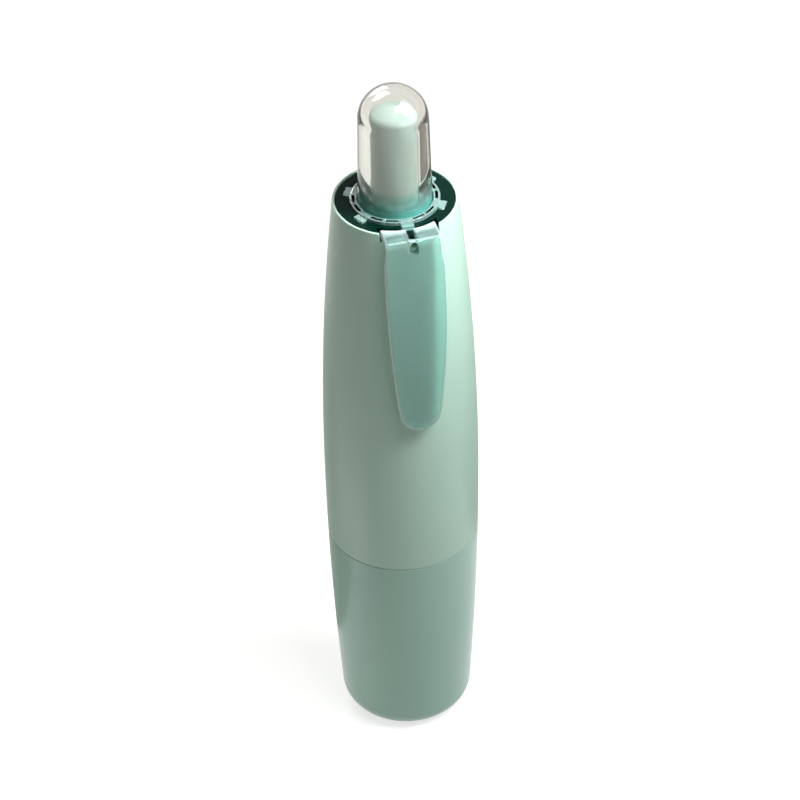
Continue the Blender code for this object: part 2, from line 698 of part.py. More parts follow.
def make_spool(name, parent, material, hub_radius, flange_radius, axle_radius, height, clutch):
    """A hub with two flanges; the supply spool also has a seat for the clutch washer."""
    bore = axle_radius + RUNNING_GAP
    profile = [(bore, flange_outer), (flange_radius, flange_outer), (flange_radius, flange_inner)]
    profile += [(hub_radius, flange_inner), (hub_radius, -flange_inner), (flange_radius, -flange_inner)]
    profile += [(flange_radius, -flange_outer)]
    if clutch:
        seat = -flange_outer + CLUTCH_DEPTH
        inner = CLUTCH_INNER_RADIUS - FIT
        outer = CLUTCH_INNER_RADIUS + CLUTCH_RING_WIDTH + FIT
        profile += [(outer, -flange_outer), (outer, seat), (inner, seat), (inner, -flange_outer)]
    profile += [(bore, -flange_outer)]
    add_object(name, turned(profile, ROUND_SEGMENTS), parent, material, (0, 0, height), True)


def make_roll(name, parent, material, hub_radius, radius, height):
    half = TAPE_WIDTH / 2
    ring = tube(hub_radius + FIT, radius, -half, half, ROUND_SEGMENTS)
    add_object(name, ring, parent, material, (0, 0, height), True)


def make_clutch_washer(parent, material):
    outer = CLUTCH_INNER_RADIUS + CLUTCH_RING_WIDTH
    high = -flange_outer + CLUTCH_DEPTH - FIT
    low = -gear_inner + FIT
    ring = tube(CLUTCH_INNER_RADIUS, outer, low, high, ROUND_SEGMENTS)
    add_object("clutch_washer", ring, parent, material, (0, 0, supply_height), True)


def make_gear(name, parent, material, teeth, axle_radius, height, phase):
    """A spur gear with slim straight-sided teeth, whose proportions are in modules."""
    pitch_radius = GEAR_MODULE * teeth / 2
    valley = pitch_radius - 1.1 * GEAR_MODULE
    peak = pitch_radius + 0.7 * GEAR_MODULE
    root_width = 1.05 * GEAR_MODULE
    tip_width = 0.45 * GEAR_MODULE
    outer = toothed_loop(valley, peak, teeth, root_width, tip_width, phase, 1)
    bore = circle_loop(axle_radius + RUNNING_GAP, PIN_SEGMENTS)
    plate = ring_plate(outer, bore, -gear_outer, -gear_inner)
    add_object(name, plate, parent, material, (0, 0, height), True)


def tangent_angle(first, second):
    """The direction of travel from one guide to the next; a guide is (side, height, signed radius)."""
    across = second[0] - first[0]
    up = second[1] - first[1]
    swing = first[2] - second[2]
    length = math.sqrt(across * across + up * up - swing * swing)
    return math.atan2(up, across) - math.atan2(swing, length)


def film_path(guides):
    """Points on the film's middle with their normals, from the first guide's tangent to the last one's.

    A guide with a positive radius lies to the right of the film's travel, and a negative one to its left.
    """
    directions = [tangent_angle(a, b) for a, b in zip(guides, guides[1:])]
    path = []
    for index, (side, height, radius) in enumerate(guides):
        arriving = directions[max(index - 1, 0)]
        leaving = directions[min(index, len(directions) - 1)]
        turn = (leaving - arriving + math.pi) % math.tau - math.pi
        if radius > 0 and turn > 0:
            turn -= math.tau
        steps = math.ceil(abs(turn) / math.radians(COARSE_TURN))
        for step in range(steps + 1):
            normal = arriving + turn * step / max(steps, 1) + math.pi / 2
            point = (side + radius * math.cos(normal), height + radius * math.sin(normal))
            path.append((point, (math.cos(normal), math.sin(normal))))
    return path


def make_tape_run(parent, material):
    """The film between the reels: past the guide post, in between the head's pins and round the tip."""
    guides = [
        (0, supply_height, supply_tape_radius + film_offset),
        (post_side, post_height, GUIDE_POST_RADIUS + film_offset),
        (head_pin_side, head_pin_height, -HEAD_PIN_RADIUS - film_offset),
        (0, roller_height, TIP_ROLLER_RADIUS + film_offset),
        (-head_pin_side, head_pin_height, -HEAD_PIN_RADIUS - film_offset),
        (0, takeup_height, takeup_liner_radius + film_offset),
    ]
    half = FILM_THICKNESS / 2
    path = film_path(guides)
    near = [(y + half * ny, z + half * nz) for (y, z), (ny, nz) in path]
    far = [(y - half * ny, z - half * nz) for (y, z), (ny, nz) in path]
    film = outline_plate(near + list(reversed(far)), -TAPE_WIDTH / 2, TAPE_WIDTH / 2)
    bmesh.ops.triangulate(film, faces=film.faces)
    add_object("tape_run", film, parent, material)


def clip_stations():
    """Stations along the clip's inner face: (distance from the axis, height, half width)."""
    root_side = math.sqrt(clip_root_radius * clip_root_radius - clip_root_half_width * clip_root_half_width)
    stations = [(root_side - CLIP_ROOT_GAP, clip_inner_height, clip_root_half_width)]
    for side, height in arc(clip_bend_side, clip_bend_height, CLIP_BEND_RADIUS, 90, 0, COARSE_TURN):
        stations.append((side, height, clip_root_half_width))
    taper_top = clip_end + CLIP_TAPER
    round_top = clip_end + CLIP_END_RADIUS
    tongue = clip_bend_height - clip_end
    heights = [(z, clip_half_width) for z in evenly(clip_bend_height, taper_top, CLIP_STRAIGHT_STEPS)[1:]]
    for share in evenly(0, 1, CLIP_TAPER_STEPS)[1:]:
        half_width = clip_half_width - (clip_half_width - CLIP_END_RADIUS) * share * share
        heights.append((taper_top - (taper_top - round_top) * share, half_width))
    # The round end stops short of a point, which leaves the very tip blunt
    for half_width, z in arc(0, round_top, CLIP_END_RADIUS, 0, -82, FINE_TURN)[1:]:
        heights.append((z, half_width))
    for z, half_width in heights:
        bow = CLIP_BOW * math.sin(math.pi * (clip_bend_height - z) / tongue)
        stations.append((outside(z) + CLIP_GAP + bow, z, half_width))
    return stations


def make_clip(parent, material, hinge):
    bm = bmesh.new()
    stations = clip_stations()
    sections = []
    for index, (side, height, half_width) in enumerate(stations):
        before = stations[max(index - 1, 0)]
        after = stations[min(index + 1, len(stations) - 1)]
        along = (after[0] - before[0], after[1] - before[1])
        length = math.hypot(*along)
        out = (-along[1] / length, along[0] / length)
        bevel = min(CLIP_BEVEL, half_width / 2)
        outline = [(-half_width, 0), (half_width, 0), (half_width, CLIP_THICKNESS - bevel)]
        outline += [(half_width - bevel, CLIP_THICKNESS), (bevel - half_width, CLIP_THICKNESS)]
        outline += [(-half_width, CLIP_THICKNESS - bevel)]
        section = []
        for x, depth in outline:
            distance = side + out[0] * depth
            rise = height + out[1] * depth
            section.append(bm.verts.new((x, -distance - hinge[1], rise - hinge[2])))
        sections.append(section)
    for here, there in zip(sections, sections[1:]):
        for corner in range(len(here)):
            bm.faces.new((here[corner - 1], here[corner], there[corner], there[corner - 1]))
    bm.faces.new(sections[0])
    bm.faces.new(sections[-1])
    clip = add_object("clip", bm, parent, material, hinge)
    # The root's back edge is an arc round the bush
    arc_low = clip_inner_height - CLIP_THICKNESS
    cut(clip, "root_arc", cylinder(clip_root_radius, arc_low, rim_height + CLIP_THICKNESS, BODY_SEGMENTS))
    slot = CLIP_SLOT_WIDTH / 2
    low = (-slot, -clip_reach - CLIP_THICKNESS, clip_bend_height - CLIP_SLOT_DROP)
    cut(clip, "slot", box(low, (slot, CLIP_THICKNESS - clip_root_radius, rim_height + CLIP_THICKNESS)))


def main():
    clear_scene()
    satin_mint = finish("satin_mint", (0.42, 0.62, 0.53), 0.42)
    nose_mint = finish("nose_mint", (0.36, 0.56, 0.48), 0.42)
    dark_clear = finish("dark_clear_teal", (0.02, 0.18, 0.14), 0.1, transmission=0.6)
    pale_clear = finish("pale_clear_teal", (0.55, 0.85, 0.78), 0.12, transmission=0.6)
    clip_clear = finish("clip_clear_teal", (0.4, 0.7, 0.62), 0.12, transmission=0.6)
    clear = finish("clear_dome", (0.95, 0.97, 0.95), 0.05, transmission=0.9)
    core_mint = finish("core_mint", (0.55, 0.82, 0.72), 0.35)
    white = finish("white_plastic", (0.8, 0.8, 0.78), 0.4)
    grey = finish("grey_acetal", (0.55, 0.57, 0.58), 0.35)
    steel = finish("steel", (0.6, 0.6, 0.6), 0.25, metallic=1.0)
    rubber = finish("rubber", (0.05, 0.05, 0.05), 0.7)
    film = finish("film", (0.82, 0.84, 0.82), 0.35)
    liner = finish("liner", (0.75, 0.72, 0.62), 0.5)

    pen = add_empty("pen", None, (0, axis_shift, 0))
    button = add_empty("button", pen)
    carriage = add_empty("carriage", pen)

    make_barrel(pen, satin_mint)
    make_nose(pen, nose_mint)
    make_top_cap(pen, dark_clear)
    make_button_bush(pen, pale_clear)
    make_clip(pen, clip_clear, (0, -clip_bend_side, clip_inner_height))
    make_click_housing(pen, white)
    make_return_spring(pen, steel)

    make_button_dome(button, clear)
    make_button_core(button, core_mint)

    make_carriage_frame(carriage, white)
    make_carriage_cover(carriage, white)
    make_cam_rotor(carriage, grey)
    make_rotor_retainer(carriage, steel)
    make_head(carriage, white)
    make_tip_roller(carriage, grey)
    make_roller_pin(carriage, steel)
    make_tape_run(carriage, film)

    make_spool("supply_spool", carriage, white, SPOOL_HUB_RADIUS, supply_flange_radius,
               SUPPLY_AXLE_RADIUS, supply_height, True)
    make_roll("supply_tape", carriage, film, SPOOL_HUB_RADIUS, supply_tape_radius, supply_height)
    make_clutch_washer(carriage, rubber)
    make_spool("takeup_spool", carriage, white, TAKEUP_HUB_RADIUS, takeup_flange_radius,
               TAKEUP_AXLE_RADIUS, takeup_height, False)
    make_roll("takeup_liner", carriage, liner, TAKEUP_HUB_RADIUS, takeup_liner_radius, takeup_height)

    # A tooth of the supply gear points down into a gap of the idler, which meets the take-up gear below
    idler_phase = math.pi + math.pi / IDLER_TEETH
    takeup_phase = math.pi + (math.pi / TAKEUP_TEETH if IDLER_TEETH % 2 else 0)
    make_gear("supply_gear", carriage, grey, SUPPLY_TEETH, SUPPLY_AXLE_RADIUS, supply_height, 0)
    make_gear("idler_gear", carriage, grey, IDLER_TEETH, IDLER_AXLE_RADIUS, idler_height, idler_phase)
    make_gear("takeup_gear", carriage, grey, TAKEUP_TEETH, TAKEUP_AXLE_RADIUS, takeup_height, takeup_phase)


main()
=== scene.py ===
# %% [markdown]
# # A press-button tape roller
# The real thing is a pen-shaped body of satin mint plastic with a clear domed button, a dark see-through
# cap and a see-through pocket clip. The imported CAD model is loaded first. It is the frame that everything
# here is fitted to, so it is never moved.

# %% Load the imported model
import json
import math

import bpy
from mathutils import Matrix, Quaternion, Vector


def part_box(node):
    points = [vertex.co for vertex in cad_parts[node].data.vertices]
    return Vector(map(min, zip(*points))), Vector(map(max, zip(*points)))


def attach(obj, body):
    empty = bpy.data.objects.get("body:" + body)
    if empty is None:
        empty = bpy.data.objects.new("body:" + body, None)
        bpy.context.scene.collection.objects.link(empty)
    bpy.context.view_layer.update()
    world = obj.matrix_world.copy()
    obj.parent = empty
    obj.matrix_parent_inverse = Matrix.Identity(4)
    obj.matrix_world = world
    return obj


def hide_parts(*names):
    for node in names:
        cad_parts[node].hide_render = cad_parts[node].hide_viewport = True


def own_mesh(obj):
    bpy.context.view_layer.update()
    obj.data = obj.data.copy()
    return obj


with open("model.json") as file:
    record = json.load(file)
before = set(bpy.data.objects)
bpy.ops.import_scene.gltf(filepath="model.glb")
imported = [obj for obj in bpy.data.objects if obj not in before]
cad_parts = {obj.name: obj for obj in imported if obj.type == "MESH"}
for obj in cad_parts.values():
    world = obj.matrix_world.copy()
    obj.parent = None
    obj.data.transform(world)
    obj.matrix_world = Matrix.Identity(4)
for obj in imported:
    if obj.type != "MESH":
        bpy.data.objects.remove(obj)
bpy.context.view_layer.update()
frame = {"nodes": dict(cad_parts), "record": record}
nodes = frame["nodes"]

# %% [markdown]
# Most sizes are read from the frame, so that a new model carries them along. The body bulges in two arcs
# that meet at the belly, and that rule is repeated here, because a box doesn't hold a curve. Pieces that
# fit together keep a little play between them, and cutters reach out to a plane in front of the pen.

# %% Sizes read from the frame
barrel_low, barrel_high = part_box("barrel")
AXIS_Y = (barrel_low.y + barrel_high.y) / 2
BELLY_RADIUS = (barrel_high.x - barrel_low.x) / 2
BELLY_Z = 0.05245
UPPER_BULGE = 0.468
LOWER_BULGE = 0.7
RIM_Z = barrel_high.z
SEAM_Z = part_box("nose")[1].z
WALL = 0.0014
PLAY = 0.00015
AXIS = Vector((0, AXIS_Y, 0))
FRONT_Y = AXIS_Y - 0.02


def body_radius(z):
    """The outer radius of the barrel and the nose at a height."""
    rise = z - BELLY_Z
    bulge = UPPER_BULGE if rise > 0 else LOWER_BULGE
    return BELLY_RADIUS - bulge + math.sqrt(bulge * bulge - rise * rise)


RIM_RADIUS = body_radius(RIM_Z)
print(f"belly {BELLY_RADIUS * 1000:.2f} mm, rim {RIM_RADIUS * 1000:.2f} mm at {RIM_Z * 1000:.1f} mm")

# %% [markdown]
# The camera comes first. The photograph looks down on the
# standing pen with a long lens from a little left of the clip, and is turned by a degree and a half.
# A camera can be tracked to an empty, but working its turn out once leaves nothing extra in the scene.

# %% Camera at the photograph's angle
CAMERA_AZIMUTH = math.radians(-14)
CAMERA_ELEVATION = math.radians(38.94)
CAMERA_DISTANCE = 0.6
CAMERA_ROLL = math.radians(-1.41)
CAMERA_LENS = 167.6
AIM_Z = 0.06302
PIVOT_Z = 0.06


def direction(azimuth, elevation):
    """The way from the pen to something that stands round it; azimuth 0 is in front of the clip."""
    level = math.cos(elevation)
    return Vector((math.sin(azimuth) * level, -math.cos(azimuth) * level, math.sin(elevation)))


camera_place = AXIS + Vector((0, 0, PIVOT_Z)) + direction(CAMERA_AZIMUTH, CAMERA_ELEVATION) * CAMERA_DISTANCE
camera_sight = AXIS + Vector((0, 0, AIM_Z)) - camera_place
camera_turn = camera_sight.to_track_quat("-Z", "Y") @ Quaternion((0, 0, 1), CAMERA_ROLL)
bpy.ops.object.select_all(action="DESELECT")
bpy.ops.object.camera_add(location=camera_place, rotation=camera_turn.to_euler())
camera = bpy.context.object
camera.data.lens = CAMERA_LENS
camera.data.sensor_width = 36
camera.data.clip_start = 0.01
camera.data.clip_end = 20
bpy.context.scene.camera = camera
bpy.context.scene.view_settings.view_transform = "Standard"
print("camera at", [round(c, 4) for c in camera_place])

# %% [markdown]
# The background is plain white. The world shows white to the camera, to reflections and through clear
# plastic, but lights the object at a lower, plain level. The floor is pale and keeps the shadow, and some
# emission that only those same rays see lifts it to the white of the background. The lift is greater far
# off, where the lamps don't reach.

# %% World and floor
FILL_LEVEL = 0.25
FILL_COLOUR = (1.0, 0.985, 0.92, 1)
FLOOR_COLOUR = (0.6, 0.6, 0.59, 1)
FLOOR_SIZE = 8
NEAR_LIFT, NEAR_REACH = 0.68, 0.15
FAR_LIFT, FAR_REACH = 0.86, 0.6


def join_values(tree, operation, *values):
    """A Math node on values of other nodes and on plain numbers."""
    node = tree.nodes.new("ShaderNodeMath")
    node.operation = operation
    for socket, value in zip(node.inputs, values):
        if isinstance(value, float):
            socket.default_value = value
        else:
            tree.links.new(value, socket)
    return node.outputs["Value"]


def seen_directly(tree):
    """1 on camera, glossy and transmission rays, but 0 on every ray that has left a matte surface."""
    path = tree.nodes.new("ShaderNodeLightPath").outputs
    mirror = join_values(tree, "MAXIMUM", path["Is Glossy Ray"], path["Is Transmission Ray"])
    direct = join_values(tree, "MAXIMUM", path["Is Camera Ray"], mirror)
    no_matte = join_values(tree, "LESS_THAN", path["Diffuse Depth"], 0.5)
    return join_values(tree, "MULTIPLY", direct, no_matte)


world = bpy.data.worlds.new("studio")
bpy.context.scene.world = world
world.use_nodes = True
sky = world.node_tree.nodes["Background"]
seen = seen_directly(world.node_tree)
level = world.node_tree.nodes.new("ShaderNodeMapRange")
level.inputs["To Min"].default_value = FILL_LEVEL
level.inputs["To Max"].default_value = 1.0
world.node_tree.links.new(seen, level.inputs["Value"])
world.node_tree.links.new(level.outputs["Result"], sky.inputs["Strength"])
tone = world.node_tree.nodes.new("ShaderNodeMix")
tone.data_type = "RGBA"
tone.inputs["A"].default_value = FILL_COLOUR
tone.inputs["B"].default_value = (1, 1, 1, 1)
world.node_tree.links.new(seen, tone.inputs["Factor"])
world.node_tree.links.new(tone.outputs["Result"], sky.inputs["Color"])

bpy.ops.object.select_all(action="DESELECT")
bpy.ops.mesh.primitive_plane_add(size=FLOOR_SIZE, location=(0, 0, 0))
floor = bpy.context.object
floor.name = "floor"
paper = bpy.data.materials.new("white_paper")
paper.use_nodes = True
paper_shader = paper.node_tree.nodes["Principled BSDF"]
paper_shader.inputs["Base Color"].default_value = FLOOR_COLOUR
paper_shader.inputs["Roughness"].default_value = 0.9
paper_shader.inputs["Specular IOR Level"].default_value = 0.1
paper_shader.inputs["Emission Color"].default_value = (1, 1, 1, 1)
place = paper.node_tree.nodes.new("ShaderNodeTexCoord")
reach = paper.node_tree.nodes.new("ShaderNodeVectorMath")
reach.operation = "LENGTH"
paper.node_tree.links.new(place.outputs["Object"], reach.inputs[0])
lift = paper.node_tree.nodes.new("ShaderNodeMapRange")
lift.inputs["From Min"].default_value = NEAR_REACH
lift.inputs["From Max"].default_value = FAR_REACH
lift.inputs["To Min"].default_value = NEAR_LIFT
lift.inputs["To Max"].default_value = FAR_LIFT
paper.node_tree.links.new(reach.outputs["Value"], lift.inputs["Value"])
glow = join_values(paper.node_tree, "MULTIPLY", seen_directly(paper.node_tree), lift.outputs["Result"])
paper.node_tree.links.new(glow, paper_shader.inputs["Emission Strength"])
floor.data.materials.append(paper)
print("floor", FLOOR_SIZE, "m wide, fill level", FILL_LEVEL)

# %% [markdown]
# A large soft lamp on the right is the main light, as on the photograph, where the right of the body is
# bright and the left falls into a soft shade. A smaller lamp aimed at the button makes the light fall off
# down the pen. Both have a limited beam, so that the body isn't too bright when it is pulled up off the
# nose. One overhead draws the bright line along the bend of the clip, and a weak one near the floor stands
# for the light that a white table throws back. One more behind shows the shape of the back. The camera
# doesn't see the lamps themselves.

# %% Lamps
def add_lamp(name, azimuth, out, height, aim, size, power, colour, beam=180):
    """A rectangular lamp at a distance out from the pen's axis, facing a height on that axis."""
    place = AXIS + direction(math.radians(azimuth), 0) * out + Vector((0, 0, height))
    sight = AXIS + Vector((0, 0, aim)) - place
    turn = sight.to_track_quat("-Z", "Y").to_euler()
    bpy.ops.object.light_add(type="AREA", location=place, rotation=turn)
    lamp = bpy.context.object
    lamp.name = name
    lamp.data.shape = "RECTANGLE"
    lamp.data.size, lamp.data.size_y = size
    lamp.data.energy = power
    lamp.data.spread = math.radians(beam)
    lamp.data.color = colour
    lamp.visible_camera = False
    print(name, "lamp at azimuth", azimuth, "power", power)


# Azimuth in degrees, then distance out, height, aimed height and size in metres, and power in watts.
add_lamp("window", 62, 0.15, 0.25, 0.065, (0.11, 0.18), 0.136, (0.92, 0.97, 1.0), beam=100)
add_lamp("near", 55, 0.07, 0.175, 0.112, (0.035, 0.035), 0.023, (0.92, 0.97, 1.0), beam=60)
add_lamp("overhead", 20, 0.15, 0.38, 0.1, (0.1, 0.1), 0.25, (0.95, 0.98, 1.0))
add_lamp("behind", 190, 0.28, 0.22, 0.065, (0.15, 0.15), 0.3, (1.0, 0.99, 0.96))
add_lamp("table", -90, 0.05, 0.012, 0.012, (0.05, 0.03), 0.003, (0.95, 1.0, 0.98))

# %% [markdown]
# Clear plastic and gloss show what stands round them. On the photograph the right of the dome and the
# right edge of the body look into something grey, and the left edge into something less bright than the
# table. So a card lies on each side behind the pen, where only clear and glossy surfaces see it.

# %% Grey cards
CARD_Z = 0.002


def add_card(name, azimuth, out, size, colour):
    """A card that lies on the floor at a distance out from the pen's axis."""
    bpy.ops.object.select_all(action="DESELECT")
    turn = math.radians(azimuth)
    place = AXIS + direction(turn, 0) * out + Vector((0, 0, CARD_Z))
    bpy.ops.mesh.primitive_plane_add(size=size, location=place, rotation=(0, 0, turn))
    card = bpy.context.object
    card.name = name
    card.visible_camera = False
    card.visible_shadow = False
    card.visible_diffuse = False
    paint = bpy.data.materials.new(name)
    paint.use_nodes = True
    shader = paint.node_tree.nodes["Principled BSDF"]
    shader.inputs["Base Color"].default_value = (*colour, 1)
    shader.inputs["Roughness"].default_value = 0.9
    card.data.materials.append(paint)
    print(name, "at azimuth", azimuth)


add_card("right_card", 128, 0.11, 0.13, (0.39, 0.38, 0.35))
add_card("left_card", -156, 0.07, 0.1, (0.6, 0.6, 0.58))

# %% [markdown]
# Every piece starts from a line: one vertex that is extruded from point to point. A round piece is then
# spun about the pen's axis, as on a lathe, and a flat one is filled with a face and pushed out to a
# solid. Curves could draw the same lines, but a mesh can be cut and rounded at once.

# %% Helpers that draw, turn and push out a line
TURN_STEPS = 96
SEED_SIZE = 0.001
MERGE_DISTANCE = 1e-6


def draw_line(name, points):
    """Extrude one vertex through a list of points; the new object is left in edit mode."""
    bpy.ops.object.select_all(action="DESELECT")
    bpy.ops.mesh.primitive_plane_add(size=SEED_SIZE, location=points[0])
    piece = bpy.context.object
    piece.name = name
    bpy.ops.object.mode_set(mode="EDIT")
    bpy.ops.mesh.select_all(action="SELECT")
    bpy.ops.mesh.merge(type="CENTER")
    for here, there in zip(points, points[1:]):
        step = Vector(there) - Vector(here)
        bpy.ops.mesh.extrude_region_move(TRANSFORM_OT_translate={"value": step})
    bpy.ops.mesh.select_all(action="SELECT")
    return piece


def close_mesh(piece):
    """Merge doubles, turn the faces outwards, leave edit mode and put the object at the origin."""
    bpy.ops.mesh.select_all(action="SELECT")
    bpy.ops.mesh.remove_doubles(threshold=MERGE_DISTANCE)
    bpy.ops.mesh.normals_make_consistent(inside=False)
    bpy.ops.object.mode_set(mode="OBJECT")
    bpy.ops.object.transform_apply(location=True, rotation=True, scale=True)
    return piece


def turn_on_lathe(name, outline):
    """Spin an outline of (radius, height) points round the pen's axis."""
    piece = draw_line(name, [(radius, AXIS_Y, height) for radius, height in outline])
    bpy.ops.mesh.spin(steps=TURN_STEPS, angle=math.tau, center=AXIS, axis=(0, 0, 1))
    return close_mesh(piece)


def push_out(name, corners, way):
    """Fill a loop of corners with a face and push the face out to a solid."""
    piece = draw_line(name, corners + corners[:1])
    bpy.ops.mesh.remove_doubles(threshold=MERGE_DISTANCE)
    bpy.ops.mesh.edge_face_add()
    bpy.ops.mesh.extrude_region_move(TRANSFORM_OT_translate={"value": way})
    return close_mesh(piece)


def closed(outline):
    """An outline that comes back to its first point, for a ring or a tube."""
    return outline + outline[:1]


def steps_between(low, high, count):
    """Evenly spaced values from one number to another."""
    return [low + (high - low) * step / count for step in range(count + 1)]


def arc_points(centre, radius, start, end, count):
    """Points on an arc between two angles in degrees."""
    points = []
    for angle in steps_between(math.radians(start), math.radians(end), count):
        points.append((centre[0] + radius * math.cos(angle), centre[1] + radius * math.sin(angle)))
    return points


# %% [markdown]
# Notches, lugs and slots come from Boolean modifiers, and the sharp edges that they leave are rounded by
# a Bevel modifier, because no moulded edge is sharp and a round edge catches the light. Weighted normals
# keep the flat faces between the rounded edges flat to the eye.

# %% Helpers that cut, round and finish a piece
SMOOTH_ANGLE = math.radians(32)
BEVEL_ANGLE = math.radians(40)
CUT_MARGIN = 0.001


def only(piece):
    """Make one object the selected and the active one."""
    bpy.ops.object.select_all(action="DESELECT")
    piece.select_set(True)
    bpy.context.view_layer.objects.active = piece


def add_block(name, low, high, turn=0):
    """A block between two corners, turned about the pen's axis."""
    bpy.ops.object.select_all(action="DESELECT")
    low, high = Vector(low), Vector(high)
    centre = AXIS + Matrix.Rotation(turn, 3, "Z") @ ((low + high) / 2 - AXIS)
    bpy.ops.mesh.primitive_cube_add(size=1, location=centre, rotation=(0, 0, turn))
    block = bpy.context.object
    block.name = name
    block.scale = high - low
    bpy.ops.object.transform_apply(location=True, rotation=True, scale=True)
    return block


def add_modifier(piece, kind, **settings):
    """Add one modifier with its settings and apply it."""
    only(piece)
    bpy.ops.object.modifier_add(type=kind)
    modifier = piece.modifiers[-1]
    for setting, value in settings.items():
        setattr(modifier, setting, value)
    bpy.ops.object.modifier_apply(modifier=modifier.name)


def combine(piece, other, operation):
    """Cut another object out of a piece, or add it on."""
    add_modifier(piece, "BOOLEAN", operation=operation, object=other, solver="EXACT")
    bpy.data.objects.remove(other)


def round_edges(piece, width, segments=3):
    """Round every sharp edge of a piece."""
    limits = {"limit_method": "ANGLE", "angle_limit": BEVEL_ANGLE}
    add_modifier(piece, "BEVEL", width=width, segments=segments, **limits)


def finish_piece(piece, body, node, material):
    """Smooth a piece, give it its material, and let it stand for its CAD node on that node's body."""
    only(piece)
    bpy.ops.object.shade_smooth_by_angle(angle=SMOOTH_ANGLE)
    add_modifier(piece, "WEIGHTED_NORMAL", keep_sharp=True)
    piece.data.materials.clear()
    piece.data.materials.append(material)
    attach(piece, body)
    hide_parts(node)
    print(piece.name, "has", len(piece.data.polygons), "faces")


# %% [markdown]
# The moulded plastics share one recipe. A large soft noise shifts the colour a little, as pigment does,
# and a fine noise gives the spark-eroded skin of the mould, which also changes the gloss slightly. The
# noise reads Object coordinates, which are metres here, so its scale is the number of grains in a metre.

# %% Moulded plastic
CLOUD_SCALE = 70
GLOSS_SPREAD = 0.15
SKIN_DEPTH = 0.00002


def moulded(name, colour, roughness, grain, bump, spread=0.04, **sockets):
    """A plastic with a mottled colour, an uneven gloss and a fine skin."""
    material = bpy.data.materials.new(name)
    material.use_nodes = True
    tree = material.node_tree
    shader = tree.nodes["Principled BSDF"]
    place = tree.nodes.new("ShaderNodeTexCoord")
    cloud = tree.nodes.new("ShaderNodeTexNoise")
    cloud.inputs["Scale"].default_value = CLOUD_SCALE
    cloud.inputs["Detail"].default_value = 3
    skin = tree.nodes.new("ShaderNodeTexNoise")
    skin.inputs["Scale"].default_value = grain
    skin.inputs["Detail"].default_value = 2
    tree.links.new(place.outputs["Object"], cloud.inputs["Vector"])
    tree.links.new(place.outputs["Object"], skin.inputs["Vector"])
    tint = tree.nodes.new("ShaderNodeMix")
    tint.data_type = "RGBA"
    tint.inputs["A"].default_value = (*[c * (1 - spread) for c in colour], 1)
    tint.inputs["B"].default_value = (*[min(1, c * (1 + spread)) for c in colour], 1)
    tree.links.new(cloud.outputs["Fac"], tint.inputs["Factor"])
    tree.links.new(tint.outputs["Result"], shader.inputs["Base Color"])
    gloss = tree.nodes.new("ShaderNodeMapRange")
    gloss.inputs["To Min"].default_value = roughness * (1 - GLOSS_SPREAD)
    gloss.inputs["To Max"].default_value = roughness * (1 + GLOSS_SPREAD)
    tree.links.new(skin.outputs["Fac"], gloss.inputs["Value"])
    tree.links.new(gloss.outputs["Result"], shader.inputs["Roughness"])
    relief = tree.nodes.new("ShaderNodeBump")
    relief.inputs["Strength"].default_value = bump
    relief.inputs["Distance"].default_value = SKIN_DEPTH
    tree.links.new(skin.outputs["Fac"], relief.inputs["Height"])
    tree.links.new(relief.outputs["Normal"], shader.inputs["Normal"])
    for socket, value in sockets.items():
        shader.inputs[socket.replace("_", " ")].default_value = value
    return material


satin_mint = moulded("satin_mint", (0.412, 0.59, 0.483), 0.34, 5200, 0.3)
nose_mint = moulded("nose_mint", (0.318, 0.508, 0.422), 0.25, 5200, 0.25)
core_mint = moulded("core_mint", (0.77, 1.0, 0.91), 0.45, 5200, 0.2)
white_plastic = moulded("white_plastic", (0.8, 0.8, 0.78), 0.4, 4200, 0.25)
grey_acetal = moulded("grey_acetal", (0.55, 0.57, 0.58), 0.32, 4200, 0.2)
rubber = moulded("rubber", (0.05, 0.05, 0.05), 0.7, 3000, 0.6, 0.2)
print("materials with the plastics:", len(bpy.data.materials))

# %% [markdown]
# See-through plastic passes light and bends it, and its colour deepens where the wall is thick. So the dome
# and the clip absorb light inside the wall, while the cap and the collar carry their colour at the
# surface. Painted light and painted shade change some pieces from place to place, so one helper lets a
# material fade into another colour and clearness.

# %% Clear plastics
DARK_TEAL = (0.0007, 0.016, 0.0105)


def tint_inside(material, colour, density):
    """Let a clear material swallow light on its way through the wall."""
    tree = material.node_tree
    absorb = tree.nodes.new("ShaderNodeVolumeAbsorption")
    absorb.inputs["Color"].default_value = (*colour, 1)
    absorb.inputs["Density"].default_value = density
    output = tree.nodes["Material Output"]
    tree.links.new(absorb.outputs["Volume"], output.inputs["Volume"])


def fade(material, share, colour, clearness=None):
    """Let a material pass into another colour and clearness as a node's value goes from 0 to 1."""
    tree = material.node_tree
    shader = tree.nodes["Principled BSDF"]
    blend = tree.nodes.new("ShaderNodeMix")
    blend.data_type = "RGBA"
    blend.inputs["B"].default_value = (*colour, 1)
    tree.links.new(tree.nodes["Mix"].outputs["Result"], blend.inputs["A"])
    tree.links.new(share, blend.inputs["Factor"])
    tree.links.new(blend.outputs["Result"], shader.inputs["Base Color"])
    if clearness is None:
        return
    clear = tree.nodes.new("ShaderNodeMapRange")
    clear.inputs["To Min"].default_value = shader.inputs["Transmission Weight"].default_value
    clear.inputs["To Max"].default_value = clearness
    tree.links.new(share, clear.inputs["Value"])
    tree.links.new(clear.outputs["Result"], shader.inputs["Transmission Weight"])


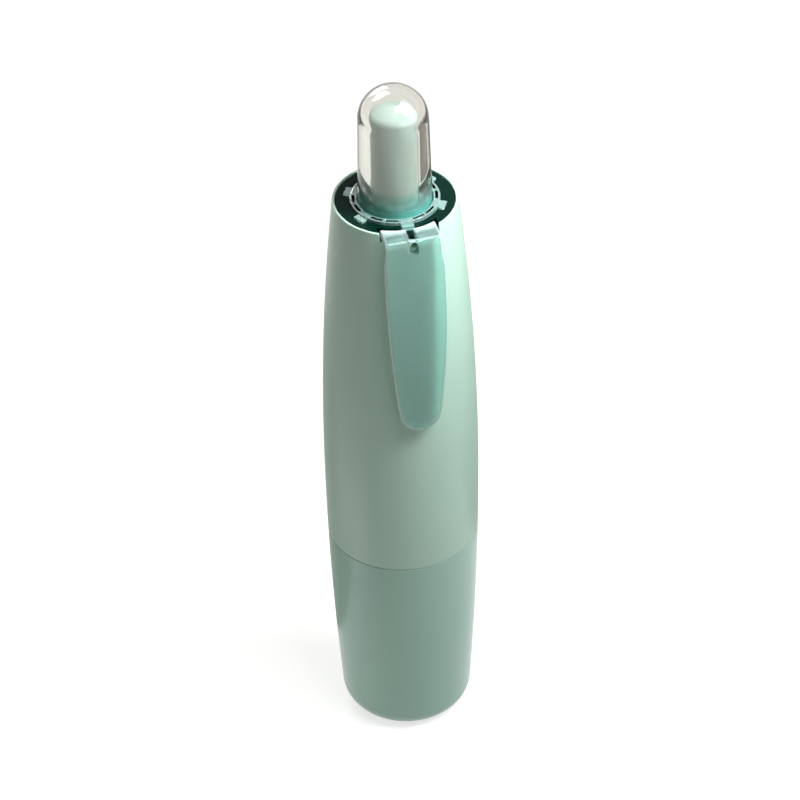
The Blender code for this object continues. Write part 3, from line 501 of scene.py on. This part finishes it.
dark_clear_teal = moulded("dark_clear_teal", DARK_TEAL, 0.08, 900, 0.05, Transmission_Weight=0.1, IOR=1.13)
pale_clear_teal = moulded("pale_clear_teal", (0.55, 0.86, 0.79), 0.06, 900, 0.05,
                          Transmission_Weight=0.7, IOR=1.5, Coat_Weight=1.0)
clip_clear_teal = moulded("clip_clear_teal", (0.72, 0.95, 0.90), 0.06, 900, 0.05,
                          Transmission_Weight=0.86, IOR=1.5)
clear_dome = moulded("clear_dome", (0.99, 0.985, 0.97), 0.03, 900, 0.02, Transmission_Weight=1.0, IOR=1.49)
tint_inside(clear_dome, (0.44, 0.41, 0.24), 115)
tint_inside(clip_clear_teal, (0.08, 0.62, 0.545), 400)
print("materials with the clear ones:", len(bpy.data.materials))

# %% [markdown]
# Drawn steel wire has fine lines along it. Here a noise that is stretched along the pen roughens the
# gloss, which reads as drawing marks on the small steel parts.

# %% Steel
DRAWN = (3, 3, 0.15)


def drawn_steel(name, colour, roughness):
    """A steel whose fine noise is stretched along the pen."""
    material = moulded(name, colour, roughness, 2500, 0.1, 0.1, Metallic=1.0)
    tree = material.node_tree
    place = tree.nodes["Texture Coordinate"]
    stretch = tree.nodes.new("ShaderNodeMapping")
    stretch.inputs["Scale"].default_value = DRAWN
    tree.links.new(place.outputs["Object"], stretch.inputs["Vector"])
    tree.links.new(stretch.outputs["Vector"], tree.nodes["Noise Texture.001"].inputs["Vector"])
    return material


steel = drawn_steel("steel", (0.6, 0.6, 0.6), 0.28)
print("steel lines run along the pen")

# %% [markdown]
# A wound roll shows the edges of its turns as fine rings. A wave texture of rings about the reel's axle
# draws them, and a mapping moves its middle to the reel.

# %% Wound film
TURNS_PER_METRE = 2600
RING_WAVER = 0.6
RING_RELIEF = 0.5
RING_SHADE = 0.8


def wound(name, colour, roughness, reel_node):
    """A film whose wound edges show as rings about a reel."""
    material = moulded(name, colour, roughness, 3000, 0.1, 0.03)
    tree = material.node_tree
    low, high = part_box(reel_node)
    centre = tree.nodes.new("ShaderNodeMapping")
    centre.inputs["Location"].default_value = -(low + high) / 2
    tree.links.new(tree.nodes["Texture Coordinate"].outputs["Object"], centre.inputs["Vector"])
    rings = tree.nodes.new("ShaderNodeTexWave")
    rings.wave_type = "RINGS"
    rings.rings_direction = "X"
    rings.inputs["Scale"].default_value = TURNS_PER_METRE
    rings.inputs["Distortion"].default_value = RING_WAVER
    tree.links.new(centre.outputs["Vector"], rings.inputs["Vector"])
    relief = tree.nodes["Bump"]
    tree.links.new(rings.outputs["Fac"], relief.inputs["Height"])
    relief.inputs["Strength"].default_value = RING_RELIEF
    shade = tree.nodes["Mix"]
    shade.inputs["A"].default_value = (*[c * RING_SHADE for c in colour], 1)
    tree.links.new(rings.outputs["Fac"], shade.inputs["Factor"])
    return material


wound_film = wound("wound_film", (0.82, 0.84, 0.82), 0.35, "supply_tape")
wound_liner = wound("wound_liner", (0.75, 0.72, 0.62), 0.5, "takeup_liner")
film = moulded("film", (0.84, 0.86, 0.84), 0.3, 1500, 0.15)
print("materials with the film:", len(bpy.data.materials))

# %% [markdown]
# The barrel is a bulged tube with a thin lip round the cap and a spigot below for the nose to push on.
# Its outline is drawn up the outside, over the lip, down into the mouth and down the inside. A notch in
# the lip takes the root of the clip, and a narrow keyway below it lies behind the clip's window.

# %% Barrel
RIM_LIP = 0.00044
LEDGE_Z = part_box("top_cap")[0].z - PLAY
SPIGOT_WALL = 0.00065
SEAM_GAP = 0.00006
BARREL_ROUND = 0.00014
MOUTH_RADIUS = RIM_RADIUS - RIM_LIP
NOTCH_HALF_WIDTH = 0.0047
NOTCH_FLOOR = 0.1013
NOTCH_RADIUS = 0.008041
NOTCH_HEIGHT = 0.004
KEYWAY_HALF_WIDTH = 0.0008
KEYWAY_FLOOR = 0.0998
KEYWAY_TOP = NOTCH_FLOOR + 0.0005
KEYWAY_RADIUS = 0.009


def clip_room(name):
    """The room for the clip's root, in front of an arc round the bush."""
    reach = math.degrees(math.asin(NOTCH_HALF_WIDTH / NOTCH_RADIUS))
    outline = arc_points((0, AXIS_Y), NOTCH_RADIUS, -90 - reach, -90 + reach, 12)
    outline += [(NOTCH_HALF_WIDTH, FRONT_Y), (-NOTCH_HALF_WIDTH, FRONT_Y)]
    return push_out(name, [(x, y, NOTCH_FLOOR) for x, y in outline], (0, 0, NOTCH_HEIGHT))


barrel_seam_z = SEAM_Z + SEAM_GAP
outside = [(body_radius(z), z) for z in steps_between(barrel_seam_z, RIM_Z, 30)]
inside = [(body_radius(z) - WALL, z) for z in reversed(steps_between(barrel_seam_z, LEDGE_Z, 12))]
spigot_inner = body_radius(barrel_seam_z) - WALL
spigot_outer = spigot_inner + SPIGOT_WALL
mouth = [(MOUTH_RADIUS, RIM_Z), (MOUTH_RADIUS, LEDGE_Z)]
spigot = [(spigot_inner, barrel_low.z), (spigot_outer, barrel_low.z), (spigot_outer, barrel_seam_z)]
barrel = turn_on_lathe("barrel_shell", closed(outside + mouth + inside + spigot))
round_edges(barrel, BARREL_ROUND)
combine(barrel, clip_room("notch"), "DIFFERENCE")
keyway_low = (-KEYWAY_HALF_WIDTH, FRONT_Y, KEYWAY_FLOOR)
keyway_high = (KEYWAY_HALF_WIDTH, AXIS_Y - KEYWAY_RADIUS, KEYWAY_TOP)
combine(barrel, add_block("keyway", keyway_low, keyway_high), "DIFFERENCE")
finish_piece(barrel, "body", "barrel", satin_mint)

# %% [markdown]
# The nose is a deep cup that pushes on the barrel's spigot. It is turned in one go, floor and all, and
# then the mouth for the tape head is cut through the floor with a rounded block.

# %% Nose
NOSE_CORNER = 0.004
NOSE_FLOOR = 0.0016
SOCKET_Z = 0.03145
MOUTH_HALF_LENGTH = 0.0045
MOUTH_HALF_WIDTH = 0.0023
MOUTH_CORNER = 0.0004
NOSE_ROUND = 0.0001

corner_side = body_radius(NOSE_CORNER) - NOSE_CORNER
inner_corner = NOSE_CORNER - NOSE_FLOOR
floor_side = body_radius(NOSE_CORNER) - WALL - inner_corner
nose_outside = [(0, 0)] + arc_points((corner_side, NOSE_CORNER), NOSE_CORNER, -90, 0, 12)
nose_outside += [(body_radius(z), z) for z in steps_between(NOSE_CORNER, SEAM_Z, 18)][1:]
socket_radius = spigot_outer + PLAY
nose_inside = [(socket_radius, SEAM_Z), (socket_radius, SOCKET_Z)]
nose_inside += [(body_radius(z) - WALL, z) for z in reversed(steps_between(NOSE_CORNER, SOCKET_Z, 8))]
nose_inside += arc_points((floor_side, NOSE_CORNER), inner_corner, 0, -90, 8)[1:] + [(0, NOSE_FLOOR)]
nose = turn_on_lathe("nose_cup", nose_outside + nose_inside)


def rounded_corners(half_x, half_y, radius, z):
    """The corners of a rounded rectangle about the pen's axis."""
    corners = []
    for side_x, side_y, start in ((1, 1, 0), (-1, 1, 90), (-1, -1, 180), (1, -1, 270)):
        centre = (side_x * (half_x - radius), side_y * (half_y - radius))
        corners += [(x, AXIS_Y + y, z) for x, y in arc_points(centre, radius, start, start + 90, 4)]
    return corners


mouth_corners = rounded_corners(MOUTH_HALF_LENGTH, MOUTH_HALF_WIDTH, MOUTH_CORNER, -NOSE_FLOOR)
combine(nose, push_out("mouth", mouth_corners, (0, 0, 3 * NOSE_FLOOR)), "DIFFERENCE")
round_edges(nose, NOSE_ROUND)
finish_piece(nose, "nose", "nose", nose_mint)

# %% [markdown]
# The cap is a dark clear ring that lies just below the barrel's lip. Six cut-outs in its hole take the
# lugs of the bush, and a pocket at the front takes the root of the clip.

# %% Cap
cap_low, cap_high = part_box("top_cap")
CAP_RADIUS = cap_high.x
CAP_HOLE = 0.007141
LUGS = 6
LUG_HALF_WIDTH = 0.00095
LUG_RADIUS = 0.008041
CAP_ROUND = 0.00012
LUG_TURNS = [math.tau * lug / LUGS for lug in range(LUGS)]

cap_outline = [(CAP_HOLE, cap_low.z), (CAP_RADIUS, cap_low.z)]
cap_outline += [(CAP_RADIUS, cap_high.z), (CAP_HOLE, cap_high.z)]
cap = turn_on_lathe("cap_ring", closed(cap_outline))
room = LUG_HALF_WIDTH + PLAY
for turn in LUG_TURNS:
    low = (-room, AXIS_Y - LUG_RADIUS - PLAY, cap_low.z - CUT_MARGIN)
    high = (room, AXIS_Y - CAP_HOLE + CUT_MARGIN / 2, cap_high.z + CUT_MARGIN)
    combine(cap, add_block("lug_room", low, high, turn), "DIFFERENCE")
combine(cap, clip_room("pocket"), "DIFFERENCE")
round_edges(cap, CAP_ROUND)
finish_piece(cap, "body", "top_cap", dark_clear_teal)

# %% [markdown]
# The bush is the pale clear collar that the button slides in. Its six lugs key it into the cap, and a
# flange below stops it from coming out. The lugs stand a little lower than the collar's own lip. Two
# curved slots between each pair of lugs part that lip from the thin wall that touches the button.

# %% Bush
bush_low, bush_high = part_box("button_bush")
BUSH_INNER = 0.005941
BUSH_OUTER = 0.006991
SLOT_INNER = 0.00622
SLOT_OUTER = 0.00668
SLOT_DEPTH = 0.0022
SLOT_STEPS = 6
SLOT_ENDS = [(9.5, 28), (32, 50.5)]
BUSH_FLANGE_RADIUS = bush_high.x
BUSH_FLANGE_TOP = bush_low.z + 0.0008
LUG_TOP = bush_high.z - 0.0002
LUG_THICKNESS = 0.0007
LUG_OVERLAP = 0.0003
BUSH_ROUND = 0.00009


def slot_room(start, end):
    """A curved block the size of one slot, between two angles in degrees from the front."""
    centre = (0, AXIS_Y)
    corners = arc_points(centre, SLOT_OUTER, start - 90, end - 90, SLOT_STEPS)
    corners += arc_points(centre, SLOT_INNER, end - 90, start - 90, SLOT_STEPS)
    floor_corners = [(x, y, bush_high.z - SLOT_DEPTH) for x, y in corners]
    return push_out("slot_room", floor_corners, (0, 0, 2 * SLOT_DEPTH))


bush_outline = [(BUSH_INNER, bush_low.z), (BUSH_FLANGE_RADIUS, bush_low.z)]
bush_outline += [(BUSH_FLANGE_RADIUS, BUSH_FLANGE_TOP), (BUSH_OUTER, BUSH_FLANGE_TOP)]
bush_outline += [(BUSH_OUTER, bush_high.z), (BUSH_INNER, bush_high.z)]
bush = turn_on_lathe("button_collar", closed(bush_outline))
for turn in LUG_TURNS:
    low = (-LUG_HALF_WIDTH, AXIS_Y - LUG_RADIUS, LUG_TOP - LUG_THICKNESS)
    high = (LUG_HALF_WIDTH, AXIS_Y - BUSH_OUTER + LUG_OVERLAP, LUG_TOP)
    combine(bush, add_block("lug", low, high, turn), "UNION")
    lug_angle = math.degrees(turn)
    for start, end in SLOT_ENDS:
        combine(bush, slot_room(lug_angle + start, lug_angle + end), "DIFFERENCE")
round_edges(bush, BUSH_ROUND)

# %% [markdown]
# Deep and narrow slots look nearly black, because they lie in their own shade. That shade is painted: the
# collar's material finds their walls by their distance from the axis and their depth below the lip, and turns
# dark there.

# %% Painted shade in the bush's slots
SLOT_SHADE_CLEARNESS = 0.1
SLOT_LIP = 0.00016
SLOT_MARGIN = 0.00002
slot_middle = (SLOT_INNER + SLOT_OUTER) / 2
slot_half = (SLOT_OUTER - SLOT_INNER) / 2 + SLOT_MARGIN

bush_tree = pale_clear_teal.node_tree
bush_point = bush_tree.nodes.new("ShaderNodeSeparateXYZ")
bush_tree.links.new(bush_tree.nodes["Texture Coordinate"].outputs["Object"], bush_point.inputs["Vector"])
off_axis = bush_tree.nodes.new("ShaderNodeCombineXYZ")
bush_tree.links.new(bush_point.outputs["X"], off_axis.inputs["X"])
bush_tree.links.new(join_values(bush_tree, "SUBTRACT", bush_point.outputs["Y"], AXIS_Y), off_axis.inputs["Y"])
bush_reach = bush_tree.nodes.new("ShaderNodeVectorMath")
bush_reach.operation = "LENGTH"
bush_tree.links.new(off_axis.outputs["Vector"], bush_reach.inputs[0])
in_ring = join_values(bush_tree, "COMPARE", bush_reach.outputs["Value"], slot_middle, slot_half)
below_lip = join_values(bush_tree, "LESS_THAN", bush_point.outputs["Z"], bush_high.z - SLOT_LIP)
painted_slot_shade = join_values(bush_tree, "MULTIPLY", in_ring, below_lip)
# Painted shade: the slot walls turn dark teal and less clear.
fade(pale_clear_teal, painted_slot_shade, DARK_TEAL, SLOT_SHADE_CLEARNESS)
finish_piece(bush, "body", "button_bush", pale_clear_teal)

# %% [markdown]
# The button is a clear domed tube over a mint core. The dome's wall is drawn down the outside, round the
# stop flange and up the inside, so the spin gives it a real thickness that bends the light. Near the rim
# the teal light that the collar passes is painted on: a fade between two heights turns it teal and a little
# milky.

# %% Dome
dome_low, dome_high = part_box("button_dome")
DOME_RADIUS = 0.005491
DOME_BASE_RADIUS = 0.005791
DOME_WALL = 0.00168
DOME_FLANGE = 0.001
DOME_FLANGE_RADIUS = dome_high.x
# Painted light: the teal that the collar passes into the dome and the core, faded in between two heights.
COLLAR_LIGHT_COLOUR = (0.14, 0.72, 0.64)
COLLAR_LIGHT_LOW = 0.1032
COLLAR_LIGHT_HIGH = 0.1066
COLLAR_LIGHT_CLEARNESS = 0.65
crown_z = dome_high.z - DOME_RADIUS
dome_inner = DOME_RADIUS - DOME_WALL

dome_outline = list(reversed(arc_points((0, crown_z), DOME_RADIUS, 0, 90, 18)))
dome_outline += [(DOME_BASE_RADIUS, RIM_Z), (DOME_BASE_RADIUS, dome_low.z + DOME_FLANGE)]
dome_outline += [(DOME_FLANGE_RADIUS, dome_low.z + DOME_FLANGE), (DOME_FLANGE_RADIUS, dome_low.z)]
dome_outline += [(dome_inner, dome_low.z)] + arc_points((0, crown_z), dome_inner, 0, 90, 18)
dome = turn_on_lathe("dome_shell", dome_outline)


def paint_collar_light(material, clearness=None):
    """Paint the collar's teal light onto a material, growing on its way down to the rim."""
    tree = material.node_tree
    point = tree.nodes.new("ShaderNodeSeparateXYZ")
    tree.links.new(tree.nodes["Texture Coordinate"].outputs["Object"], point.inputs["Vector"])
    depth = tree.nodes.new("ShaderNodeMapRange")
    depth.inputs["From Min"].default_value = COLLAR_LIGHT_HIGH
    depth.inputs["From Max"].default_value = COLLAR_LIGHT_LOW
    tree.links.new(point.outputs["Z"], depth.inputs["Value"])
    fade(material, depth.outputs["Result"], COLLAR_LIGHT_COLOUR, clearness)


paint_collar_light(clear_dome, COLLAR_LIGHT_CLEARNESS)
finish_piece(dome, "button", "button_dome", clear_dome)

# %% [markdown]
# The core shows through the dome as a mint post with a flat top. Below the rim it widens into the skirt
# that pushes the rotor. Its foot gets the same painted teal light of the collar as the dome's.

# %% Core
core_low, core_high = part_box("button_core")
CORE_RADIUS = 0.00365
CORE_ROUND = 0.0007
CORE_CROWN = 0.0005
SKIRT_RADIUS = core_high.x
SKIRT_WALL = 0.0013
skirt_top = dome_low.z - PLAY
hollow = SKIRT_RADIUS - SKIRT_WALL

core_top = core_high.z + CORE_CROWN
core_outline = [(0, core_top)]
core_outline += arc_points((CORE_RADIUS - CORE_ROUND, core_top - CORE_ROUND), CORE_ROUND, 90, 0, 5)
core_outline += [(CORE_RADIUS, skirt_top), (SKIRT_RADIUS, skirt_top), (SKIRT_RADIUS, core_low.z)]
core_outline += [(hollow, core_low.z), (hollow, skirt_top - SKIRT_WALL), (0, skirt_top - SKIRT_WALL)]
core = turn_on_lathe("core_post", core_outline)

# Painted teal light of the collar on the core's foot.
paint_collar_light(core_mint)
finish_piece(core, "button", "button_core", core_mint)

# %% [markdown]
# The clip is a bent strip of clear plastic with rounded sides. A section of the strip is drawn at its root
# and extruded step by step along the line that hooks over the rim and follows the bulge of the barrel.
# At each step the section is turned to the line and scaled to the clip's width there, so the strip
# widens below the rim, tapers and ends round. A curve with a bevel object could do it with less control.

# %% Line of the clip
clip_low, clip_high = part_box("clip")
CLIP_HALF_WIDTH = clip_high.x
CLIP_ROOT_HALF_WIDTH = 0.0044
CLIP_THICKNESS = 0.0013
CLIP_GAP = 0.00035
CLIP_BOW = 0.0005
CLIP_BEND = 0.0006
CLIP_ROOT_RADIUS = 0.008541
CLIP_WIDENING = 0.0035
CLIP_TAPER = 0.0254
CLIP_TAPER_RATE = 2.9
CLIP_END_RADIUS = 0.003364
CLIP_END_TURN = math.radians(7.42)
CLIP_TIP_TURN = math.radians(87)
CLIP_ROOT_SPARE = 0.0002
inner_z = clip_high.z - CLIP_THICKNESS
bend_z = inner_z - CLIP_BEND
bend_side = body_radius(bend_z) + CLIP_GAP - CLIP_BEND
taper_z = clip_low.z + CLIP_TAPER
round_z = clip_low.z + CLIP_END_RADIUS
round_from = round_z - CLIP_END_RADIUS * math.sin(CLIP_END_TURN)


def clip_half_width(z):
    """Half the clip's width: narrow over the rim, full below it, then tapering to a round end."""
    if z < round_from:
        return math.sqrt(max(0, CLIP_END_RADIUS ** 2 - (round_z - z) ** 2))
    if z < taper_z:
        return CLIP_HALF_WIDTH - CLIP_TAPER_RATE * (taper_z - z) ** 2
    share = min(1, max(0, (bend_z - z) / CLIP_WIDENING))
    smooth = share * share * (3 - 2 * share)
    return CLIP_ROOT_HALF_WIDTH + (CLIP_HALF_WIDTH - CLIP_ROOT_HALF_WIDTH) * smooth


def tongue_point(z):
    """A point of the clip's inner face below the bend, as (distance from the axis, height)."""
    bow = CLIP_BOW * math.sin(math.pi * (bend_z - z) / (bend_z - clip_low.z))
    return body_radius(z) + CLIP_GAP + bow, z


root_side = math.sqrt(CLIP_ROOT_RADIUS ** 2 - CLIP_ROOT_HALF_WIDTH ** 2) - CLIP_ROOT_SPARE
clip_line = [(root_side, inner_z)] + arc_points((bend_side, bend_z), CLIP_BEND, 90, 0, 12)
clip_line += [tongue_point(z) for z in steps_between(bend_z, round_from, 30)[1:]]
for angle in steps_between(CLIP_END_TURN, CLIP_TIP_TURN, 14)[1:]:
    clip_line.append(tongue_point(round_z - CLIP_END_RADIUS * math.sin(angle)))
print("clip line has", len(clip_line), "points, half width", round(clip_half_width(taper_z) * 1000, 2), "mm")

# %% [markdown]
# The root's back edge is an arc round the bush. A slot forks the root in two legs, and a small oval window
# lies below the bend, with a narrow bridge of plastic between them.

# %% Clip
CLIP_EDGE = 0.0004
CLIP_CROWN = 0.0001
CLIP_ROUND = 0.00012
FORK_HALF_WIDTH = 0.00065
FORK_BACK = 0.007
FORK_END = 0.01075
WINDOW_RADIUS = 0.0007
WINDOW_FRONT = 0.015
WINDOW_DEPTH = 0.005
WINDOW_TOP_Z = 0.1022
WINDOW_LOW_Z = 0.1002

flat = CLIP_ROOT_HALF_WIDTH - CLIP_EDGE
edge_middle = (flat, CLIP_THICKNESS - CLIP_CROWN - CLIP_EDGE)
half_section = [(flat, 0), (CLIP_ROOT_HALF_WIDTH, 0)] + arc_points(edge_middle, CLIP_EDGE, 0, 90, 7)
for x in steps_between(flat, 0, 3)[1:]:
    half_section.append((x, CLIP_THICKNESS - CLIP_CROWN * (x / flat) ** 2))
section = half_section + [(-x, depth) for x, depth in reversed(half_section[:-1])]


def strip_turn(index):
    """How far the strip has turned from level, from the points before and after one of its points."""
    before = clip_line[max(index - 1, 0)]
    after = clip_line[min(index + 1, len(clip_line) - 1)]
    return math.atan2(before[1] - after[1], after[0] - before[0])


def tip_share(z):
    """The share of its thickness that the strip keeps, where its end is rounded off."""
    inset = CLIP_EDGE - min(CLIP_EDGE, z - clip_low.z)
    return (CLIP_THICKNESS - CLIP_EDGE + math.sqrt(CLIP_EDGE ** 2 - inset ** 2)) / CLIP_THICKNESS


root_corners = [(x, AXIS_Y - root_side, inner_z + depth) for x, depth in section]
clip = draw_line("pocket_clip", root_corners + root_corners[:1])
bpy.ops.mesh.remove_doubles(threshold=MERGE_DISTANCE)
bpy.ops.mesh.edge_face_add()
for index in range(1, len(clip_line)):
    (old_side, old_z), (side, z) = clip_line[index - 1], clip_line[index]
    place = (0, AXIS_Y - side, z)
    turn = strip_turn(index) - strip_turn(index - 1)
    widen = clip_half_width(z) / clip_half_width(old_z)
    thin = tip_share(z) / tip_share(old_z)
    bpy.ops.mesh.extrude_region_move(TRANSFORM_OT_translate={"value": (0, old_side - side, z - old_z)})
    bpy.ops.transform.rotate(value=-turn, orient_axis="X", center_override=place)
    bpy.ops.transform.resize(value=(widen, thin, 1), center_override=place)
close_mesh(clip)

cut_low, cut_high = inner_z - CUT_MARGIN, clip_high.z + CUT_MARGIN
root_arc = [(0, cut_low), (CLIP_ROOT_RADIUS, cut_low), (CLIP_ROOT_RADIUS, cut_high), (0, cut_high)]
combine(clip, turn_on_lathe("root_arc", root_arc), "DIFFERENCE")
fork_low = (-FORK_HALF_WIDTH, AXIS_Y - FORK_END, cut_low)
fork_high = (FORK_HALF_WIDTH, AXIS_Y - FORK_BACK, cut_high)
combine(clip, add_block("fork", fork_low, fork_high), "DIFFERENCE")
window = arc_points((0, WINDOW_TOP_Z - WINDOW_RADIUS), WINDOW_RADIUS, 0, 180, 10)
window += arc_points((0, WINDOW_LOW_Z + WINDOW_RADIUS), WINDOW_RADIUS, 180, 360, 10)
window_corners = [(x, AXIS_Y - WINDOW_FRONT, z) for x, z in window]
combine(clip, push_out("window", window_corners, (0, WINDOW_DEPTH, 0)), "DIFFERENCE")
round_edges(clip, CLIP_ROUND)
finish_piece(clip, "clip", "clip", clip_clear_teal)

# %% [markdown]
# Light that is caught in clear plastic comes out at its edges, so they look pale. That glow is painted: each
# point of the clip stores how near it is to an edge as an attribute, and the material turns paler and milkier
# with it.

# %% Painted edge glow of the clip
EDGE_GLOW_WIDTH = 0.00035
EDGE_GLOW_COLOUR = (0.93, 1.0, 0.98)
EDGE_GLOW_CLEARNESS = 0.4


def edge_distance(x, y, z):
    """How far a point of the clip is from the nearest edge of its outline."""
    if z < round_z:
        return CLIP_END_RADIUS - math.hypot(x, round_z - z)
    side = clip_half_width(z) - abs(x)
    root = math.hypot(x, y - AXIS_Y) - CLIP_ROOT_RADIUS
    return min(side, root) if z > bend_z else side


# Painted glow: each point stores how strongly it glows, from its nearness to the clip's edge.
rim = clip.data.attributes.new("rim", "FLOAT", "POINT")
for vertex, store in zip(clip.data.vertices, rim.data):
    store.value = max(0, 1 - max(0, edge_distance(*vertex.co)) / EDGE_GLOW_WIDTH)

nearness = clip_clear_teal.node_tree.nodes.new("ShaderNodeAttribute")
nearness.attribute_name = "rim"
fade(clip_clear_teal, nearness.outputs["Fac"], EDGE_GLOW_COLOUR, EDGE_GLOW_CLEARNESS)
print("rim points:", sum(store.value > 0 for store in rim.data))

# %% [markdown]
# The return spring is a wire ring that the Screw modifier winds up the axis. Its end turns lie close, so
# it is wound in three lengths that meet.

# %% Return spring
spring_low, spring_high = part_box("return_spring")
WIRE_RADIUS = 0.0004
COIL_RADIUS = 0.0042
END_PITCH = 0.0012
TURNS = 6
spring_from = spring_low.z + WIRE_RADIUS
spring_to = spring_high.z - WIRE_RADIUS
pitch = (spring_to - spring_from - 2 * END_PITCH) / (TURNS - 2)


def wind(name, start_z, turn_pitch, turns):
    """Wind a wire ring up the pen's axis from a height."""
    bpy.ops.object.select_all(action="DESELECT")
    upright = {"location": (COIL_RADIUS, AXIS_Y, start_z), "rotation": (math.pi / 2, 0, 0)}
    bpy.ops.mesh.primitive_circle_add(vertices=10, radius=WIRE_RADIUS, **upright)
    coil = bpy.context.object
    coil.name = name
    bpy.ops.object.transform_apply(location=False, rotation=True, scale=True)
    bpy.context.scene.cursor.location = (0, AXIS_Y, start_z)
    bpy.ops.object.origin_set(type="ORIGIN_CURSOR")
    add_modifier(coil, "SCREW", angle=math.tau, screw_offset=turn_pitch, iterations=turns, steps=24)
    return coil


lengths = [wind("return_coil", spring_from, END_PITCH, 1)]
lengths.append(wind("coil_middle", spring_from + END_PITCH, pitch, TURNS - 2))
lengths.append(wind("coil_top", spring_to - END_PITCH, END_PITCH, 1))
spring = lengths[0]
only(spring)
for length in lengths[1:]:
    length.select_set(True)
bpy.ops.object.join()
bpy.ops.object.mode_set(mode="EDIT")
bpy.ops.mesh.select_all(action="SELECT")
bpy.ops.mesh.remove_doubles(threshold=MERGE_DISTANCE)
bpy.ops.mesh.fill_holes(sides=0)
close_mesh(spring)
finish_piece(spring, "body", "return_spring", steel)
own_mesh(spring)

# %% [markdown]
# Most of the works inside show when the nose is pulled off. Their CAD shapes are right, but their edges
# are sharp, so a copy of each is merged back to flat faces and its edges are rounded a little.

# %% Works inside
WORKS = {
    "carriage_frame": white_plastic, "carriage_cover": white_plastic, "head": white_plastic,
    "supply_spool": white_plastic, "takeup_spool": white_plastic, "tip_roller": grey_acetal,
    "roller_pin": steel, "supply_gear": grey_acetal, "idler_gear": grey_acetal, "takeup_gear": grey_acetal,
    "cam_rotor": grey_acetal, "clutch_washer": rubber, "rotor_retainer": steel,
}
WORKS_ROUND = 0.00006
body_of = {node: body for body, members in frame["record"]["behaviour"]["bodies"].items() for node in members}


def soften(node, material):
    """A copy of a CAD node with whole flat faces and rounded edges, in the node's place."""
    piece = bpy.data.objects.new(node + "_soft", nodes[node].data.copy())
    bpy.context.collection.objects.link(piece)
    only(piece)
    bpy.ops.object.mode_set(mode="EDIT")
    bpy.ops.mesh.select_all(action="SELECT")
    bpy.ops.mesh.remove_doubles(threshold=MERGE_DISTANCE)
    bpy.ops.mesh.dissolve_limited(angle_limit=math.radians(1))
    close_mesh(piece)
    round_edges(piece, WORKS_ROUND, 2)
    finish_piece(piece, body_of[node], node, material)


for node, material in WORKS.items():
    soften(node, material)

# %% [markdown]
# What is left of the CAD keeps its own shape and only gets a finish: the film and the rolls, which have
# no edges to round, and the housing of the click works, which stays out of sight in the barrel.

# %% Finishes of the nodes that stay
KEPT = {
    "click_housing": white_plastic, "tape_run": film, "supply_tape": wound_film, "takeup_liner": wound_liner,
}
for node, material in KEPT.items():
    nodes[node].data.materials.clear()
    nodes[node].data.materials.append(material)
print("kept nodes:", sorted(KEPT))
